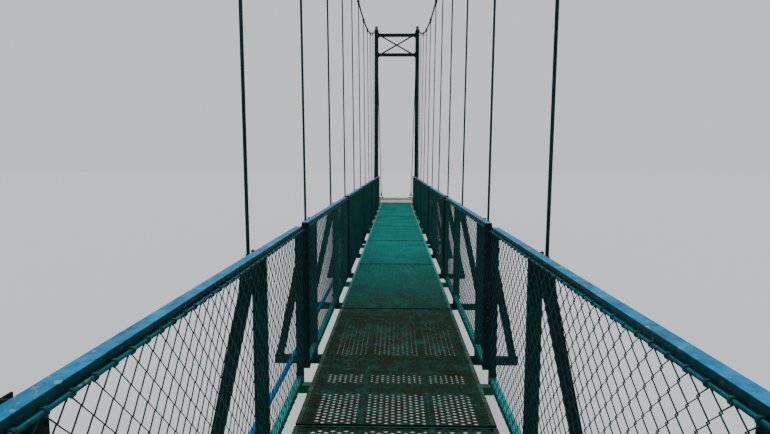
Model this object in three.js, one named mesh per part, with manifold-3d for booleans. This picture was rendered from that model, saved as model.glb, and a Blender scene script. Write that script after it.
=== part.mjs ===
// Suspension footbridge of painted steel, six panels long, hung from two cables.
// Millimetres, Z up. X runs across the walkway, Y along it, the origin is on the
// ground under the middle. "Near" is the -Y end and "left" the -X side.

import * as THREE from 'three';
import { mergeVertices } from 'three/addons/utils/BufferGeometryUtils.js';
import Module from 'manifold-3d';

const wasm = await Module();
wasm.setup();

// Driving dimensions
const PANEL_COUNT = 6;
const PANEL_PITCH = 3660;
const FRAME_PITCH = 1830;
const FIRST_FRAME = 620;
const DECK_Z = 1200;
const HALF_DECK = 610;
const FENCE_X = 705;
const RAIL_HEIGHT = 1110;
const TOWER_HEIGHT = 7300;
const CABLE_X = 850;
const CABLE_RADIUS = 19;
const CABLE_SIDES = 12;
const HANGER_RADIUS = 10;
const MAIN_ANGLE = 21 * Math.PI / 180;
const BACK_ANGLE = 45 * Math.PI / 180;

// Clearance between pieces that touch
const GAP = 0.3;
// Depth that a piece enters its neighbour inside one welded part
const BITE = 3;
// Clearance of a cable in its saddle's groove
const GROOVE_GAP = 0.6;

// Deck panels
const PANEL_END_GAP = 5;
const SHEET = 6;
const STRINGER_DEPTH = 158;
const STRINGER_FLANGE = 50;
const PLATE = 6;
const INNER_STRINGER_X = 250;
const END_CHANNEL_DEPTH = 60;
// Bearer under the far end of a panel, which the next panel's end lies on too
const BEARER_DEPTH = 70;
const BEARER_HEIGHT = 66;
const BEARER_HALF_LENGTH = 760;

// Cross frames, of channel bar
const CHANNEL_WIDTH = 76;
const CHANNEL_DEPTH = 38;
const CHANNEL_WALL = 5;
const BRACE_WIDTH = 65;
const OUTRIGGER_X = 1100;
const BRACE_HEAD = [823, 900];
const BRACE_FOOT = [1064, -200];
const GUSSET = [[716, 1062], [838, 1062], [862, 880], [716, 880]];
const GUSSET_THICKNESS = 8;
// How far a gusset stands into the channels' webs
const GUSSET_BITE = 2;
// Room around a cross frame, for cutting the raking braces level with the floor beam
const BEYOND_FRAME = [1300, 100];

// Fence panels
const RAIL_WIDTH = 50;
const RAIL_DROP = 40;
const LOWER_LEG = 50;
const LOWER_RAIL_DROP = 35;
// How far a fence panel stops short of its deck panel's end where another panel follows
const FENCE_SETBACK = 130;
// Room that the lower rail's outer leg leaves on each side of a frame post
const NOTCH_ROOM = 6;
const END_POST_X = [699, 750];
const MESH_THICKNESS = 6;
const MESH_BITE = 0.5;
const MESH_MARGIN = 10;
// The woven wire's diamonds, drawn larger: how many along a panel and up it, and their bars
const DIAMONDS_ALONG = 6;
const DIAMONDS_UP = 2;
const MESH_BAR = 20;

// Hangers and their fittings
const HANGER_FOOT_X = 808;
const CLEVIS = [36, 30, 70];
const CLEVIS_Z = 1000;
const CLAMP = [56, 90, 84];
const HANGER_SIDES = 6;
const CABLE_STEPS = 24;

// Portals, saddles and abutments
const LEG_WIDTH = 160;
const LEG_PLATE = 280;
const LEG_PLATE_THICKNESS = 20;
const LEG_CAP = 180;
const SADDLE_HEIGHT = 200;
const SADDLE_RADIUS = 400;
const SADDLE_LENGTH = 420;
const SADDLE_WIDTH = 110;
const SADDLE_STEPS = 10;
// Level stretch of the cable on each side of a saddle's crown
const CROWN_LEVEL = 15;
// Straight steps that the arc over a saddle is made of, on each side of the crown
const MAIN_STEPS = 3;
const BACK_STEPS = 5;
const PORTAL_SETBACK = 350;
const HEAD_BEAM = 120;
const HEAD_BEAM_HEIGHTS = [6150, 6950];
const HEAD_BRACE = 50;
const ABUTMENT_HALF_WIDTH = 1250;
const ABUTMENT_LENGTH = 1410;
const LANDING_GAP = 10;
const SEAT_LENGTH = 250;
// The landing is a raised slab; the portal legs stand on the lower shoulders beside it
const LANDING_HALF_WIDTH = 690;
const SHOULDER_DROP = 100;

// Anchorages
const ANCHOR_HALF_WIDTH = 1100;
const ANCHOR_HEIGHT = 900;
const ANCHOR_REACH = [-500, 400];
const BRACKET_PLATE = [300, 320, 20];
const BRACKET_ARM = 90;
const BRACKET_ARM_LENGTH = 260;
const BRACKET_ARM_ROOT = 60;
// Room around a bracket, for cutting its slanted arm level with the anchor block
const BEYOND_BRACKET = [300, 400];
const SOCKET_RADIUS = 42;
const SOCKET_LENGTH = 240;
const SOCKET_SIDES = 12;

// Tube that lies along the left ends of the cross frames
const EDGE_TUBE_X = 915;
const EDGE_TUBE_RADIUS = 21;
const EDGE_TUBE_SIDES = 12;
const EDGE_TUBE_HALF_LENGTH = 10850;

// Places that follow from the driving dimensions
const HALF_SPAN = PANEL_COUNT * PANEL_PITCH / 2;
const PORTAL_Y = HALF_SPAN + PORTAL_SETBACK;
const BEAM_TOP = -STRINGER_DEPTH - GAP;
const CABLE_TOP = DECK_Z + TOWER_HEIGHT;
const LEAVE_Y = PORTAL_Y - SADDLE_RADIUS * Math.sin(MAIN_ANGLE);
const LEAVE_Z = CABLE_TOP - SADDLE_RADIUS * (1 - Math.cos(MAIN_ANGLE));
const CABLE_SAG = Math.tan(MAIN_ANGLE) * LEAVE_Y / 2;
const BACK_Y = PORTAL_Y + SADDLE_RADIUS * Math.sin(BACK_ANGLE);
const BACK_Z = CABLE_TOP - SADDLE_RADIUS * (1 - Math.cos(BACK_ANGLE));
const ANCHOR_Y = BACK_Y + (BACK_Z - ANCHOR_HEIGHT) / Math.tan(BACK_ANGLE);

// Finishes
const PAINT = { color: 0x0f7f83, roughness: 0.45, metalness: 0.2 };
const DARK_PAINT = { color: 0x0b5a58, roughness: 0.5, metalness: 0.2 };
const DECK_PAINT = { color: 0x1c6a5e, roughness: 0.65, metalness: 0.2 };
const CONCRETE = { color: 0x8f8b80, roughness: 0.95, metalness: 0 };
const CASTING = { color: 0x54595a, roughness: 0.6, metalness: 0.7 };

// A curve whose vertices are the given points, so that a swept tube has a ring at each.
class PointPath extends THREE.Curve {
  constructor(points) {
    super();
    this.points = points;
  }

  getUtoTmapping(u) {
    return u;
  }

  getPoint(t, target = new THREE.Vector3()) {
    const place = Math.min(Math.max(t, 0), 1) * (this.points.length - 1);
    const index = Math.min(Math.floor(place), this.points.length - 2);
    return target.lerpVectors(this.points[index], this.points[index + 1], place - index);
  }
}

function toSolid(geometry) {
  geometry.deleteAttribute('normal');
  geometry.deleteAttribute('uv');
  const merged = mergeVertices(geometry, 1e-4);
  return new wasm.Manifold(new wasm.Mesh({
    numProp: 3,
    vertProperties: new Float32Array(merged.attributes.position.array),
    triVerts: new Uint32Array(merged.index.array),
  }));
}

function join(solids) {
  return solids.reduce((whole, solid) => whole.add(solid));
}

function toGeometry(solid) {
  const mesh = solid.getMesh();
  const geometry = new THREE.BufferGeometry();
  geometry.setAttribute('position', new THREE.BufferAttribute(mesh.vertProperties, 3));
  geometry.setIndex(new THREE.BufferAttribute(mesh.triVerts, 1));
  geometry.computeVertexNormals();
  return geometry;
}

function shapeOf(points) {
  return new THREE.Shape(points.map(([a, b]) => new THREE.Vector2(a, b)));
}

// A box between two corners
function block(low, high) {
  const size = high.map((value, axis) => value - low[axis]);
  const geometry = new THREE.BoxGeometry(...size);
  geometry.translate(...low.map((value, axis) => value + size[axis] / 2));
  return toSolid(geometry);
}

// An outline in X and Z, drawn out along Y
function alongY(outline, yLow, yHigh) {
  const geometry = new THREE.ExtrudeGeometry(shapeOf(outline), {
    depth: yHigh - yLow,
    bevelEnabled: false,
  });
  const turn = new THREE.Matrix4().makeBasis(
    new THREE.Vector3(1, 0, 0),
    new THREE.Vector3(0, 0, 1),
    new THREE.Vector3(0, -1, 0),
  );
  geometry.applyMatrix4(turn);
  geometry.translate(0, yHigh, 0);
  return toSolid(geometry);
}

// An outline in Y and Z, drawn out along X
function alongX(outline, xLow, xHigh) {
  const geometry = new THREE.ExtrudeGeometry(shapeOf(outline), {
    depth: xHigh - xLow,
    bevelEnabled: false,
  });
  const turn = new THREE.Matrix4().makeBasis(
    new THREE.Vector3(0, 1, 0),
    new THREE.Vector3(0, 0, 1),
    new THREE.Vector3(1, 0, 0),
  );
  geometry.applyMatrix4(turn);
  geometry.translate(xLow, 0, 0);
  return toSolid(geometry);
}

function ring(radius, sides) {
  const points = [];
  for (let i = 0; i < sides; i += 1) {
    const angle = (i + 0.5) * 2 * Math.PI / sides;
    points.push([radius * Math.cos(angle), radius * Math.sin(angle)]);
  }
  return shapeOf(points);
}

// A round bar swept through a list of points
function bar(points, radius, sides) {
  const geometry = new THREE.ExtrudeGeometry(ring(radius, sides), {
    extrudePath: new PointPath(points),
    steps: points.length - 1,
    bevelEnabled: false,
  });
  return toSolid(geometry);
}

// A channel bar in a plane across the bridge, its web towards -Y at yWeb
function channel(from, to, width, yWeb) {
  const start = new THREE.Vector3(from[0], yWeb, from[1]);
  const end = new THREE.Vector3(to[0], yWeb, to[1]);
  const axis = end.clone().sub(start).normalize();
  const depthAxis = new THREE.Vector3(0, 1, 0);
  const widthAxis = new THREE.Vector3().crossVectors(depthAxis, axis);
  const half = width / 2;
  const inner = half - CHANNEL_WALL;
  const outline = [
    [-half, 0], [half, 0], [half, CHANNEL_DEPTH], [inner, CHANNEL_DEPTH],
    [inner, CHANNEL_WALL], [-inner, CHANNEL_WALL], [-inner, CHANNEL_DEPTH], [-half, CHANNEL_DEPTH],
  ];
  const geometry = new THREE.ExtrudeGeometry(shapeOf(outline), {
    depth: start.distanceTo(end),
    bevelEnabled: false,
  });
  geometry.applyMatrix4(new THREE.Matrix4().makeBasis(widthAxis, depthAxis, axis));
  geometry.translate(start.x, start.y, start.z);
  return toSolid(geometry);
}

function onDeck(points) {
  return points.map(([x, z]) => [x, z + DECK_Z]);
}

function mirrored(points, side) {
  return points.map(([x, z]) => [side * x, z]);
}

const bridge = new THREE.Group();

function addPart(name, solid, finish) {
  const mesh = new THREE.Mesh(toGeometry(solid), new THREE.MeshStandardMaterial(finish));
  mesh.name = name;
  bridge.add(mesh);
}

// Deck panel: walking sheet on four channel stringers, closed by a channel at each end,
// with a bearer under its far end wherever another panel follows
function stringer(webX, inward, yLow, yHigh) {
  const low = DECK_Z - STRINGER_DEPTH;
  const high = DECK_Z - BITE;
  const wall = webX + inward * PLATE;
  const flange = webX + inward * STRINGER_FLANGE;
  const outline = [
    [webX, low], [flange, low], [flange, low + PLATE], [wall, low + PLATE],
    [wall, high - PLATE], [flange, high - PLATE], [flange, high], [webX, high],
  ];
  return alongY(outline, yLow, yHigh);
}

function endChannel(webY, inward) {
  const low = DECK_Z - END_CHANNEL_DEPTH;
  const high = DECK_Z - BITE;
  const wall = webY + inward * PLATE;
  const flange = webY + inward * STRINGER_FLANGE;
  const outline = [
    [webY, low], [flange, low], [flange, low + PLATE], [wall, low + PLATE],
    [wall, high - PLATE], [flange, high - PLATE], [flange, high], [webY, high],
  ];
  return alongX(outline, -HALF_DECK, HALF_DECK);
}

function bearer(panelEnd) {
  const webY = panelEnd + PANEL_END_GAP - BEARER_DEPTH / 2;
  const lipY = webY + BEARER_DEPTH;
  const high = DECK_Z + BEAM_TOP;
  const low = high - BEARER_HEIGHT;
  const outline = [
    [webY, low], [lipY, low], [lipY, low + PLATE], [webY + PLATE, low + PLATE],
    [webY + PLATE, high - PLATE], [lipY, high - PLATE], [lipY, high], [webY, high],
  ];
  const solids = [alongX(outline, -BEARER_HALF_LENGTH, BEARER_HALF_LENGTH)];
  for (const webX of [-HALF_DECK, -INNER_STRINGER_X, INNER_STRINGER_X, HALF_DECK]) {
    const edges = [webX, webX - Math.sign(webX) * STRINGER_FLANGE].sort((a, b) => a - b);
    solids.push(block([edges[0], webY, high - BITE], [edges[1], panelEnd, high + BITE]));
  }
  return join(solids);
}

function deckPanel(yLow, yHigh, isLast) {
  const solids = [
    block([-HALF_DECK, yLow, DECK_Z - SHEET], [HALF_DECK, yHigh, DECK_Z]),
    endChannel(yLow, 1),
    endChannel(yHigh, -1),
  ];
  for (const side of [-1, 1]) {
    solids.push(stringer(side * HALF_DECK, -side, yLow, yHigh));
    solids.push(stringer(side * INNER_STRINGER_X, -side, yLow, yHigh));
  }
  if (!isLast) {
    solids.push(bearer(yHigh));
  }
  return join(solids);
}

// Cross frame: floor beam, two posts, two raking braces and the gussets at their heads
function crossFrame(yWeb) {
  const beamAxis = DECK_Z + BEAM_TOP - CHANNEL_WIDTH / 2;
  const solids = [
    channel([-OUTRIGGER_X, beamAxis], [OUTRIGGER_X, beamAxis], CHANNEL_WIDTH, yWeb),
  ];
  const postX = FENCE_X + PLATE + GAP + CHANNEL_WIDTH / 2;
  const postTop = DECK_Z + RAIL_HEIGHT - PLATE - GAP;
  const postFoot = DECK_Z + BEAM_TOP - BITE;
  const [beyondX, beyondY] = BEYOND_FRAME;
  const below = block([-beyondX, yWeb - beyondY, 0], [beyondX, yWeb + beyondY, postFoot]);
  for (const side of [-1, 1]) {
    solids.push(channel([side * postX, postFoot], [side * postX, postTop], CHANNEL_WIDTH, yWeb));
    const [head, foot] = onDeck(mirrored([BRACE_HEAD, BRACE_FOOT], side));
    solids.push(channel(foot, head, BRACE_WIDTH, yWeb).subtract(below));
    const plate = onDeck(mirrored(GUSSET, side));
    solids.push(alongY(plate, yWeb - GUSSET_THICKNESS + GUSSET_BITE, yWeb + GUSSET_BITE));
  }
  return join(solids);
}

// Blocks that cut the outer leg of a fence panel's lower rail away where the frame posts stand
function frameNotches(side, yLow, yHigh) {
  const edges = [side * (FENCE_X + PLATE), side * (FENCE_X + 2 * LOWER_LEG)].sort((a, b) => a - b);
  return frameWebs().filter((yWeb) => yWeb > yLow && yWeb < yHigh).map((yWeb) => block(
    [edges[0], yWeb - NOTCH_ROOM, DECK_Z - LOWER_RAIL_DROP - 2 * LOWER_LEG],
    [edges[1], yWeb + CHANNEL_DEPTH + NOTCH_ROOM, DECK_Z],
  ));
}

// Lattice of crossed bars in a fence panel's plane, between two heights over the deck
function diamondLattice(side, yLow, yHigh, zLow, zHigh) {
  const faces = [FENCE_X + MESH_BITE, FENCE_X + MESH_BITE - MESH_THICKNESS];
  const [xLow, xHigh] = faces.map((x) => side * x).sort((a, b) => a - b);
  const pitch = (yHigh - yLow) / DIAMONDS_ALONG;
  const run = pitch * DIAMONDS_UP;
  const rise = zHigh - zLow;
  const halfCut = MESH_BAR / 2 * Math.hypot(run, rise) / rise;
  const middle = (yLow + yHigh) / 2;
  const bars = [];
  for (let i = 1 - DIAMONDS_UP; i < DIAMONDS_ALONG; i += 1) {
    const start = yLow + pitch * i;
    for (const way of [-1, 1]) {
      const outline = [
        [start - halfCut, zLow], [start + halfCut, zLow],
        [start + run + halfCut, zHigh], [start + run - halfCut, zHigh],
      ].map(([y, z]) => [middle + way * (y - middle), DECK_Z + z]);
      bars.push(alongX(outline, xLow, xHigh));
    }
  }
  return join(bars).intersect(block([xLow, yLow, 0], [xHigh, yHigh, DECK_Z + zHigh]));
}

// Fence panel: angle rails, angle end posts and the woven wire between them
function sidePanel(side, yLow, yHigh) {
  const inner = FENCE_X;
  const wall = FENCE_X + PLATE;
  const topRail = [
    [inner, RAIL_HEIGHT - RAIL_DROP], [wall, RAIL_HEIGHT - RAIL_DROP], [wall, RAIL_HEIGHT - PLATE],
    [inner + RAIL_WIDTH, RAIL_HEIGHT - PLATE], [inner + RAIL_WIDTH, RAIL_HEIGHT], [inner, RAIL_HEIGHT],
  ];
  const lowerTop = -LOWER_RAIL_DROP;
  const lowerFoot = lowerTop - LOWER_LEG;
  const lowerRail = [
    [inner, lowerFoot], [wall, lowerFoot], [wall, lowerTop - PLATE],
    [inner + LOWER_LEG, lowerTop - PLATE], [inner + LOWER_LEG, lowerTop], [inner, lowerTop],
  ];
  const lowerBar = alongY(onDeck(mirrored(lowerRail, side)), yLow, yHigh);
  const solids = [
    alongY(onDeck(mirrored(topRail, side)), yLow, yHigh),
    frameNotches(side, yLow, yHigh).reduce((whole, notch) => whole.subtract(notch), lowerBar),
  ];
  for (const [webY, inward] of [[yLow, 1], [yHigh, -1]]) {
    const flangeY = [webY, webY + inward * PLATE].sort((a, b) => a - b);
    const legY = [webY, webY + inward * LOWER_LEG].sort((a, b) => a - b);
    const flange = [
      [END_POST_X[0], lowerFoot], [END_POST_X[1], lowerFoot],
      [END_POST_X[1], RAIL_HEIGHT], [END_POST_X[0], RAIL_HEIGHT],
    ];
    const leg = [
      [END_POST_X[1] - PLATE, lowerFoot], [END_POST_X[1], lowerFoot],
      [END_POST_X[1], RAIL_HEIGHT - PLATE / 2], [END_POST_X[1] - PLATE, RAIL_HEIGHT - PLATE / 2],
    ];
    solids.push(alongY(onDeck(mirrored(flange, side)), ...flangeY));
    solids.push(alongY(onDeck(mirrored(leg, side)), ...legY));
  }
  const meshFoot = lowerFoot + MESH_MARGIN;
  const meshHead = RAIL_HEIGHT - MESH_MARGIN;
  solids.push(diamondLattice(side, yLow + BITE, yHigh - BITE, meshFoot, meshHead));
  return join(solids);
}

function cableHeight(y) {
  return LEAVE_Z - CABLE_SAG * (1 - (y / LEAVE_Y) ** 2);
}

// Points of the arc over a saddle, from its level crown down by an angle towards one end
function saddleArc(side, end, direction, angle, count) {
  const x = side * CABLE_X;
  const crownY = end * PORTAL_Y;
  const points = [
    new THREE.Vector3(x, crownY + direction * GAP / 2, CABLE_TOP),
    new THREE.Vector3(x, crownY + direction * CROWN_LEVEL, CABLE_TOP),
  ];
  for (let i = 1; i <= count; i += 1) {
    const turn = angle * i / count;
    const y = crownY + direction * SADDLE_RADIUS * Math.sin(turn);
    points.push(new THREE.Vector3(x, y, CABLE_TOP - SADDLE_RADIUS * (1 - Math.cos(turn))));
  }
  return points;
}

// Main cable from saddle to saddle, with its hangers, clamps and hanger feet
function mainCable(side) {
  const points = saddleArc(side, -1, 1, MAIN_ANGLE, MAIN_STEPS);
  for (let i = 1; i < CABLE_STEPS; i += 1) {
    const y = -LEAVE_Y + 2 * LEAVE_Y * i / CABLE_STEPS;
    points.push(new THREE.Vector3(side * CABLE_X, y, cableHeight(y)));
  }
  points.push(...saddleArc(side, 1, -1, MAIN_ANGLE, MAIN_STEPS).reverse());
  const solids = [bar(points, CABLE_RADIUS, CABLE_SIDES)];
  for (const yWeb of frameWebs()) {
    const y = yWeb + GUSSET_BITE + GAP + CLEVIS[1] / 2;
    const top = cableHeight(y);
    const foot = [side * HANGER_FOOT_X, y, DECK_Z + CLEVIS_Z];
    const rod = [new THREE.Vector3(...foot), new THREE.Vector3(side * CABLE_X, y, top)];
    solids.push(bar(rod, HANGER_RADIUS, HANGER_SIDES));
    solids.push(block(
      foot.map((value, axis) => value - CLEVIS[axis] / 2),
      foot.map((value, axis) => value + CLEVIS[axis] / 2),
    ));
    const middle = [side * CABLE_X, y, top];
    solids.push(block(
      middle.map((value, axis) => value - CLAMP[axis] / 2),
      middle.map((value, axis) => value + CLAMP[axis] / 2),
    ));
  }
  return join(solids);
}

// Backstay from a saddle down to its bracket on the anchor block
function backstay(side, end) {
  const down = new THREE.Vector3(0, end * Math.cos(BACK_ANGLE), -Math.sin(BACK_ANGLE));
  const anchor = new THREE.Vector3(side * CABLE_X, end * ANCHOR_Y, ANCHOR_HEIGHT);
  const armTop = anchor.clone().addScaledVector(down, -BRACKET_ARM_LENGTH);
  const socketTop = armTop.clone().addScaledVector(down, -SOCKET_LENGTH);
  const points = saddleArc(side, end, end, BACK_ANGLE, BACK_STEPS);
  points.push(armTop.clone());
  const armLength = BRACKET_ARM_LENGTH + BRACKET_ARM_ROOT;
  const arm = new THREE.BoxGeometry(BRACKET_ARM, BRACKET_ARM, armLength);
  const turn = new THREE.Quaternion().setFromUnitVectors(new THREE.Vector3(0, 0, -1), down);
  arm.applyQuaternion(turn);
  const armMiddle = armTop.clone().addScaledVector(down, armLength / 2 - BITE);
  arm.translate(armMiddle.x, armMiddle.y, armMiddle.z);
  const [beyondX, beyondY] = BEYOND_BRACKET;
  const ground = block(
    [side * CABLE_X - beyondX, end * ANCHOR_Y - beyondY, ANCHOR_HEIGHT - beyondY],
    [side * CABLE_X + beyondX, end * ANCHOR_Y + beyondY, ANCHOR_HEIGHT + GAP],
  );
  const [plateX, plateY, plateZ] = BRACKET_PLATE;
  return join([
    bar(points, CABLE_RADIUS, CABLE_SIDES),
    bar([socketTop, armTop], SOCKET_RADIUS, SOCKET_SIDES),
    toSolid(arm).subtract(ground),
    block(
      [side * CABLE_X - plateX / 2, end * ANCHOR_Y - plateY / 2, ANCHOR_HEIGHT + GAP],
      [side * CABLE_X + plateX / 2, end * ANCHOR_Y + plateY / 2, ANCHOR_HEIGHT + GAP + plateZ],
    ),
  ]);
}

// Saddle: a curved block with a groove that the cable lies in
function saddle(side, end) {
  const foot = CABLE_TOP - SADDLE_HEIGHT;
  const outline = [[-SADDLE_LENGTH / 2, foot], [SADDLE_LENGTH / 2, foot]];
  for (let i = 0; i <= SADDLE_STEPS; i += 1) {
    const along = SADDLE_LENGTH * (0.5 - i / SADDLE_STEPS);
    const drop = SADDLE_RADIUS - Math.sqrt(SADDLE_RADIUS ** 2 - along ** 2);
    outline.push([along, CABLE_TOP - drop]);
  }
  const body = alongX(
    outline.map(([y, z]) => [end * PORTAL_Y + y, z]),
    side * CABLE_X - SADDLE_WIDTH / 2,
    side * CABLE_X + SADDLE_WIDTH / 2,
  );
  const outward = saddleArc(side, end, end, BACK_ANGLE, BACK_STEPS).slice(1);
  const inward = saddleArc(side, end, -end, MAIN_ANGLE, MAIN_STEPS).slice(1);
  const beyond = inward.at(-1).clone();
  beyond.y -= end * SADDLE_LENGTH;
  beyond.z -= SADDLE_LENGTH * Math.tan(MAIN_ANGLE);
  const path = [beyond, ...inward.reverse(), ...outward];
  return body.subtract(bar(path, CABLE_RADIUS + GROOVE_GAP, CABLE_SIDES));
}

// Portal leg with its foot plate and cap plate
function portalLeg(side, end) {
  const x = side * CABLE_X;
  const y = end * PORTAL_Y;
  const foot = DECK_Z - SHOULDER_DROP + GAP;
  const top = CABLE_TOP - SADDLE_HEIGHT - GAP;
  const half = LEG_WIDTH / 2;
  const plate = LEG_PLATE / 2;
  const cap = LEG_CAP / 2;
  return join([
    block([x - half, y - half, foot], [x + half, y + half, top]),
    block([x - plate, y - plate, foot], [x + plate, y + plate, foot + LEG_PLATE_THICKNESS]),
    block(
      [x - cap, y - SADDLE_LENGTH / 2, top - LEG_PLATE_THICKNESS],
      [x + cap, y + SADDLE_LENGTH / 2, top],
    ),
  ]);
}

// Head frame between two portal legs: two beams and a crossed pair of braces
function portalHead(end) {
  const half = HEAD_BEAM / 2;
  const reach = CABLE_X - LEG_WIDTH / 2 - GAP;
  const y = end * PORTAL_Y;
  const heights = HEAD_BEAM_HEIGHTS.map((height) => DECK_Z + height);
  const solids = heights.map((z) => block([-reach, y - half, z - half], [reach, y + half, z + half]));
  const [low, high] = heights;
  for (const side of [-1, 1]) {
    const from = [side * (reach - half), low];
    const to = [-side * (reach - half), high];
    const webY = y + (side - 1) * CHANNEL_DEPTH / 2 + (side < 0 ? BITE / 2 : 0);
    solids.push(channel(from, to, HEAD_BRACE, webY));
  }
  return join(solids);
}

// Abutment: a solid block with a landing level with the deck, a lower shoulder on each side of it
// for the portal legs, and a lower seat for the end of the deck
function abutment(end) {
  const face = HALF_SPAN + LANDING_GAP;
  const back = HALF_SPAN + LANDING_GAP + ABUTMENT_LENGTH;
  const seatZ = DECK_Z + BEAM_TOP;
  const shoulderZ = DECK_Z - SHOULDER_DROP;
  const outline = [
    [face - SEAT_LENGTH, 0], [back, 0], [back, shoulderZ],
    [face, shoulderZ], [face, seatZ], [face - SEAT_LENGTH, seatZ],
  ];
  const slabY = [end * face, end * back].sort((a, b) => a - b);
  return join([
    alongX(outline.map(([y, z]) => [end * y, z]), -ABUTMENT_HALF_WIDTH, ABUTMENT_HALF_WIDTH),
    block([-LANDING_HALF_WIDTH, slabY[0], shoulderZ - BITE], [LANDING_HALF_WIDTH, slabY[1], DECK_Z]),
  ]);
}

function anchorBlock(end) {
  const reach = ANCHOR_REACH.map((value) => end * (ANCHOR_Y + value)).sort((a, b) => a - b);
  return block([-ANCHOR_HALF_WIDTH, reach[0], 0], [ANCHOR_HALF_WIDTH, reach[1], ANCHOR_HEIGHT]);
}

function edgeTube() {
  const flat = EDGE_TUBE_RADIUS * Math.cos(Math.PI / EDGE_TUBE_SIDES);
  const z = DECK_Z + BEAM_TOP + GAP + flat;
  return bar([
    new THREE.Vector3(-EDGE_TUBE_X, -EDGE_TUBE_HALF_LENGTH, z),
    new THREE.Vector3(-EDGE_TUBE_X, EDGE_TUBE_HALF_LENGTH, z),
  ], EDGE_TUBE_RADIUS, EDGE_TUBE_SIDES);
}

function frameWebs() {
  const webs = [];
  for (let i = 0; i < PANEL_COUNT * 2; i += 1) {
    webs.push(-HALF_SPAN + FIRST_FRAME + FRAME_PITCH * i);
  }
  return webs;
}

for (let i = 0; i < PANEL_COUNT; i += 1) {
  const yLow = -HALF_SPAN + PANEL_PITCH * i + PANEL_END_GAP;
  const yHigh = yLow + PANEL_PITCH - 2 * PANEL_END_GAP;
  const isFirst = i === 0;
  const isLast = i === PANEL_COUNT - 1;
  const fenceEnds = [
    isFirst ? yLow : yLow + FENCE_SETBACK,
    isLast ? yHigh : yHigh - FENCE_SETBACK,
  ];
  addPart(`deck_panel_${i + 1}`, deckPanel(yLow, yHigh, isLast), DECK_PAINT);
  addPart(`side_panel_left_${i + 1}`, sidePanel(-1, ...fenceEnds), PAINT);
  addPart(`side_panel_right_${i + 1}`, sidePanel(1, ...fenceEnds), PAINT);
}

frameWebs().forEach((yWeb, i) => {
  addPart(`cross_frame_${String(i + 1).padStart(2, '0')}`, crossFrame(yWeb), DARK_PAINT);
});

for (const [sideName, side] of [['left', -1], ['right', 1]]) {
  addPart(`main_cable_${sideName}`, mainCable(side), DARK_PAINT);
  for (const [endName, end] of [['near', -1], ['far', 1]]) {
    addPart(`backstay_${endName}_${sideName}`, backstay(side, end), DARK_PAINT);
    addPart(`saddle_${endName}_${sideName}`, saddle(side, end), CASTING);
    addPart(`portal_leg_${endName}_${sideName}`, portalLeg(side, end), PAINT);
  }
}

for (const [endName, end] of [['near', -1], ['far', 1]]) {
  addPart(`portal_head_${endName}`, portalHead(end), PAINT);
  addPart(`abutment_${endName}`, abutment(end), CONCRETE);
  addPart(`anchor_block_${endName}`, anchorBlock(end), CONCRETE);
}

addPart('edge_tube_left', edgeTube(), PAINT);

export default bridge;
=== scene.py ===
# Suspension footbridge of painted steel: the finish of every piece around the fixed frame.
# Metres, Z up. X runs across the walkway and Y along it. "Near" is the -Y end, "left" the -X side.

from math import copysign, cos, pi, radians, sin, tan

import bmesh
import bpy
from mathutils import Matrix, Vector


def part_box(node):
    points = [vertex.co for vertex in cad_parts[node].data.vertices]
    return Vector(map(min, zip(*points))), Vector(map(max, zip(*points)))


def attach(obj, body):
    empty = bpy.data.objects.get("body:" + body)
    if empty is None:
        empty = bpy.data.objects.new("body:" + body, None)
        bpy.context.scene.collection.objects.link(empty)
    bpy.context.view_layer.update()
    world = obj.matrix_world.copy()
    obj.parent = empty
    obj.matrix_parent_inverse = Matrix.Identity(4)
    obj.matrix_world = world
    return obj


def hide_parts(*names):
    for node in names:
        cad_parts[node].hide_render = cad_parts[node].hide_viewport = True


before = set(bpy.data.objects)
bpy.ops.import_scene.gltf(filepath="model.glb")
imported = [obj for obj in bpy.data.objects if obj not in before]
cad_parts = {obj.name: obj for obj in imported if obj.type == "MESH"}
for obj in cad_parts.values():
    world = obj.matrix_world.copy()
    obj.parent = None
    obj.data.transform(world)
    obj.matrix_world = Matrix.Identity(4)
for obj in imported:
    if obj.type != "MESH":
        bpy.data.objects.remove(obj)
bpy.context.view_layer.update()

# The picture's viewpoint and lens, worked out from its rails, deck and hangers
EYE = Vector((-0.005, -11.343, 2.764))
LENS_MM = 24.73
PITCH_DOWN = radians(5.6)
YAW_LEFT = radians(1.19)
ROLL = radians(0.15)
BACKDROP = (0.75, 0.77, 0.79, 1.0)

# What repeats, and bolt heads across their flats
SIDES = {"left": -1, "right": 1}
ENDS = {"near": -1, "far": 1}
BOTH = (-1, 1)
PANELS = range(1, 7)
FRAMES = range(1, 13)
BODY = "root"
SMALL_BOLT = 0.013
DECK_BOLT = 0.019
FRAME_BOLT = 0.022
SADDLE_BOLT = 0.024
ANCHOR_BOLT = 0.03

# Levels and widths of the walkway
DECK_Z = 1.2
PANEL_LENGTH = 3.65
RAIL_TOP = 2.31
HALF_DECK = 0.61
FENCE_X = 0.705
PLATE = 0.006

# Expanded metal of the deck
LONG_WAY = 0.079
SHORT_WAY = 0.038
STRAND_WIDTH = 0.01
STRAND_THICKNESS = 0.003
STRAND_TILT = radians(55)
GRATING_DEPTH = 0.0102
GRATING_MARGIN = 0.004
SHEET_LENGTH = 2.628
FIRST_JOINT = -8.295
SHEET_GAP = 0.03
EDGE_BAR = 0.005
EDGE_STRIP = 0.03

# Channels under the deck
STRINGER_FOOT = DECK_Z - 0.158
STRINGER_TOP = DECK_Z - GRATING_DEPTH
STRINGER_INNER = 0.25
STRINGER_WEBS = (-HALF_DECK, -STRINGER_INNER, STRINGER_INNER, HALF_DECK)
STRINGER_FLANGE = 0.05
BEAM_TOP = DECK_Z - 0.1583
END_CHANNEL_FOOT = DECK_Z - 0.06
BEARER_HEIGHT = 0.066
BEARER_DEPTH = 0.07
BEARER_HALF_LENGTH = 0.76

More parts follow.
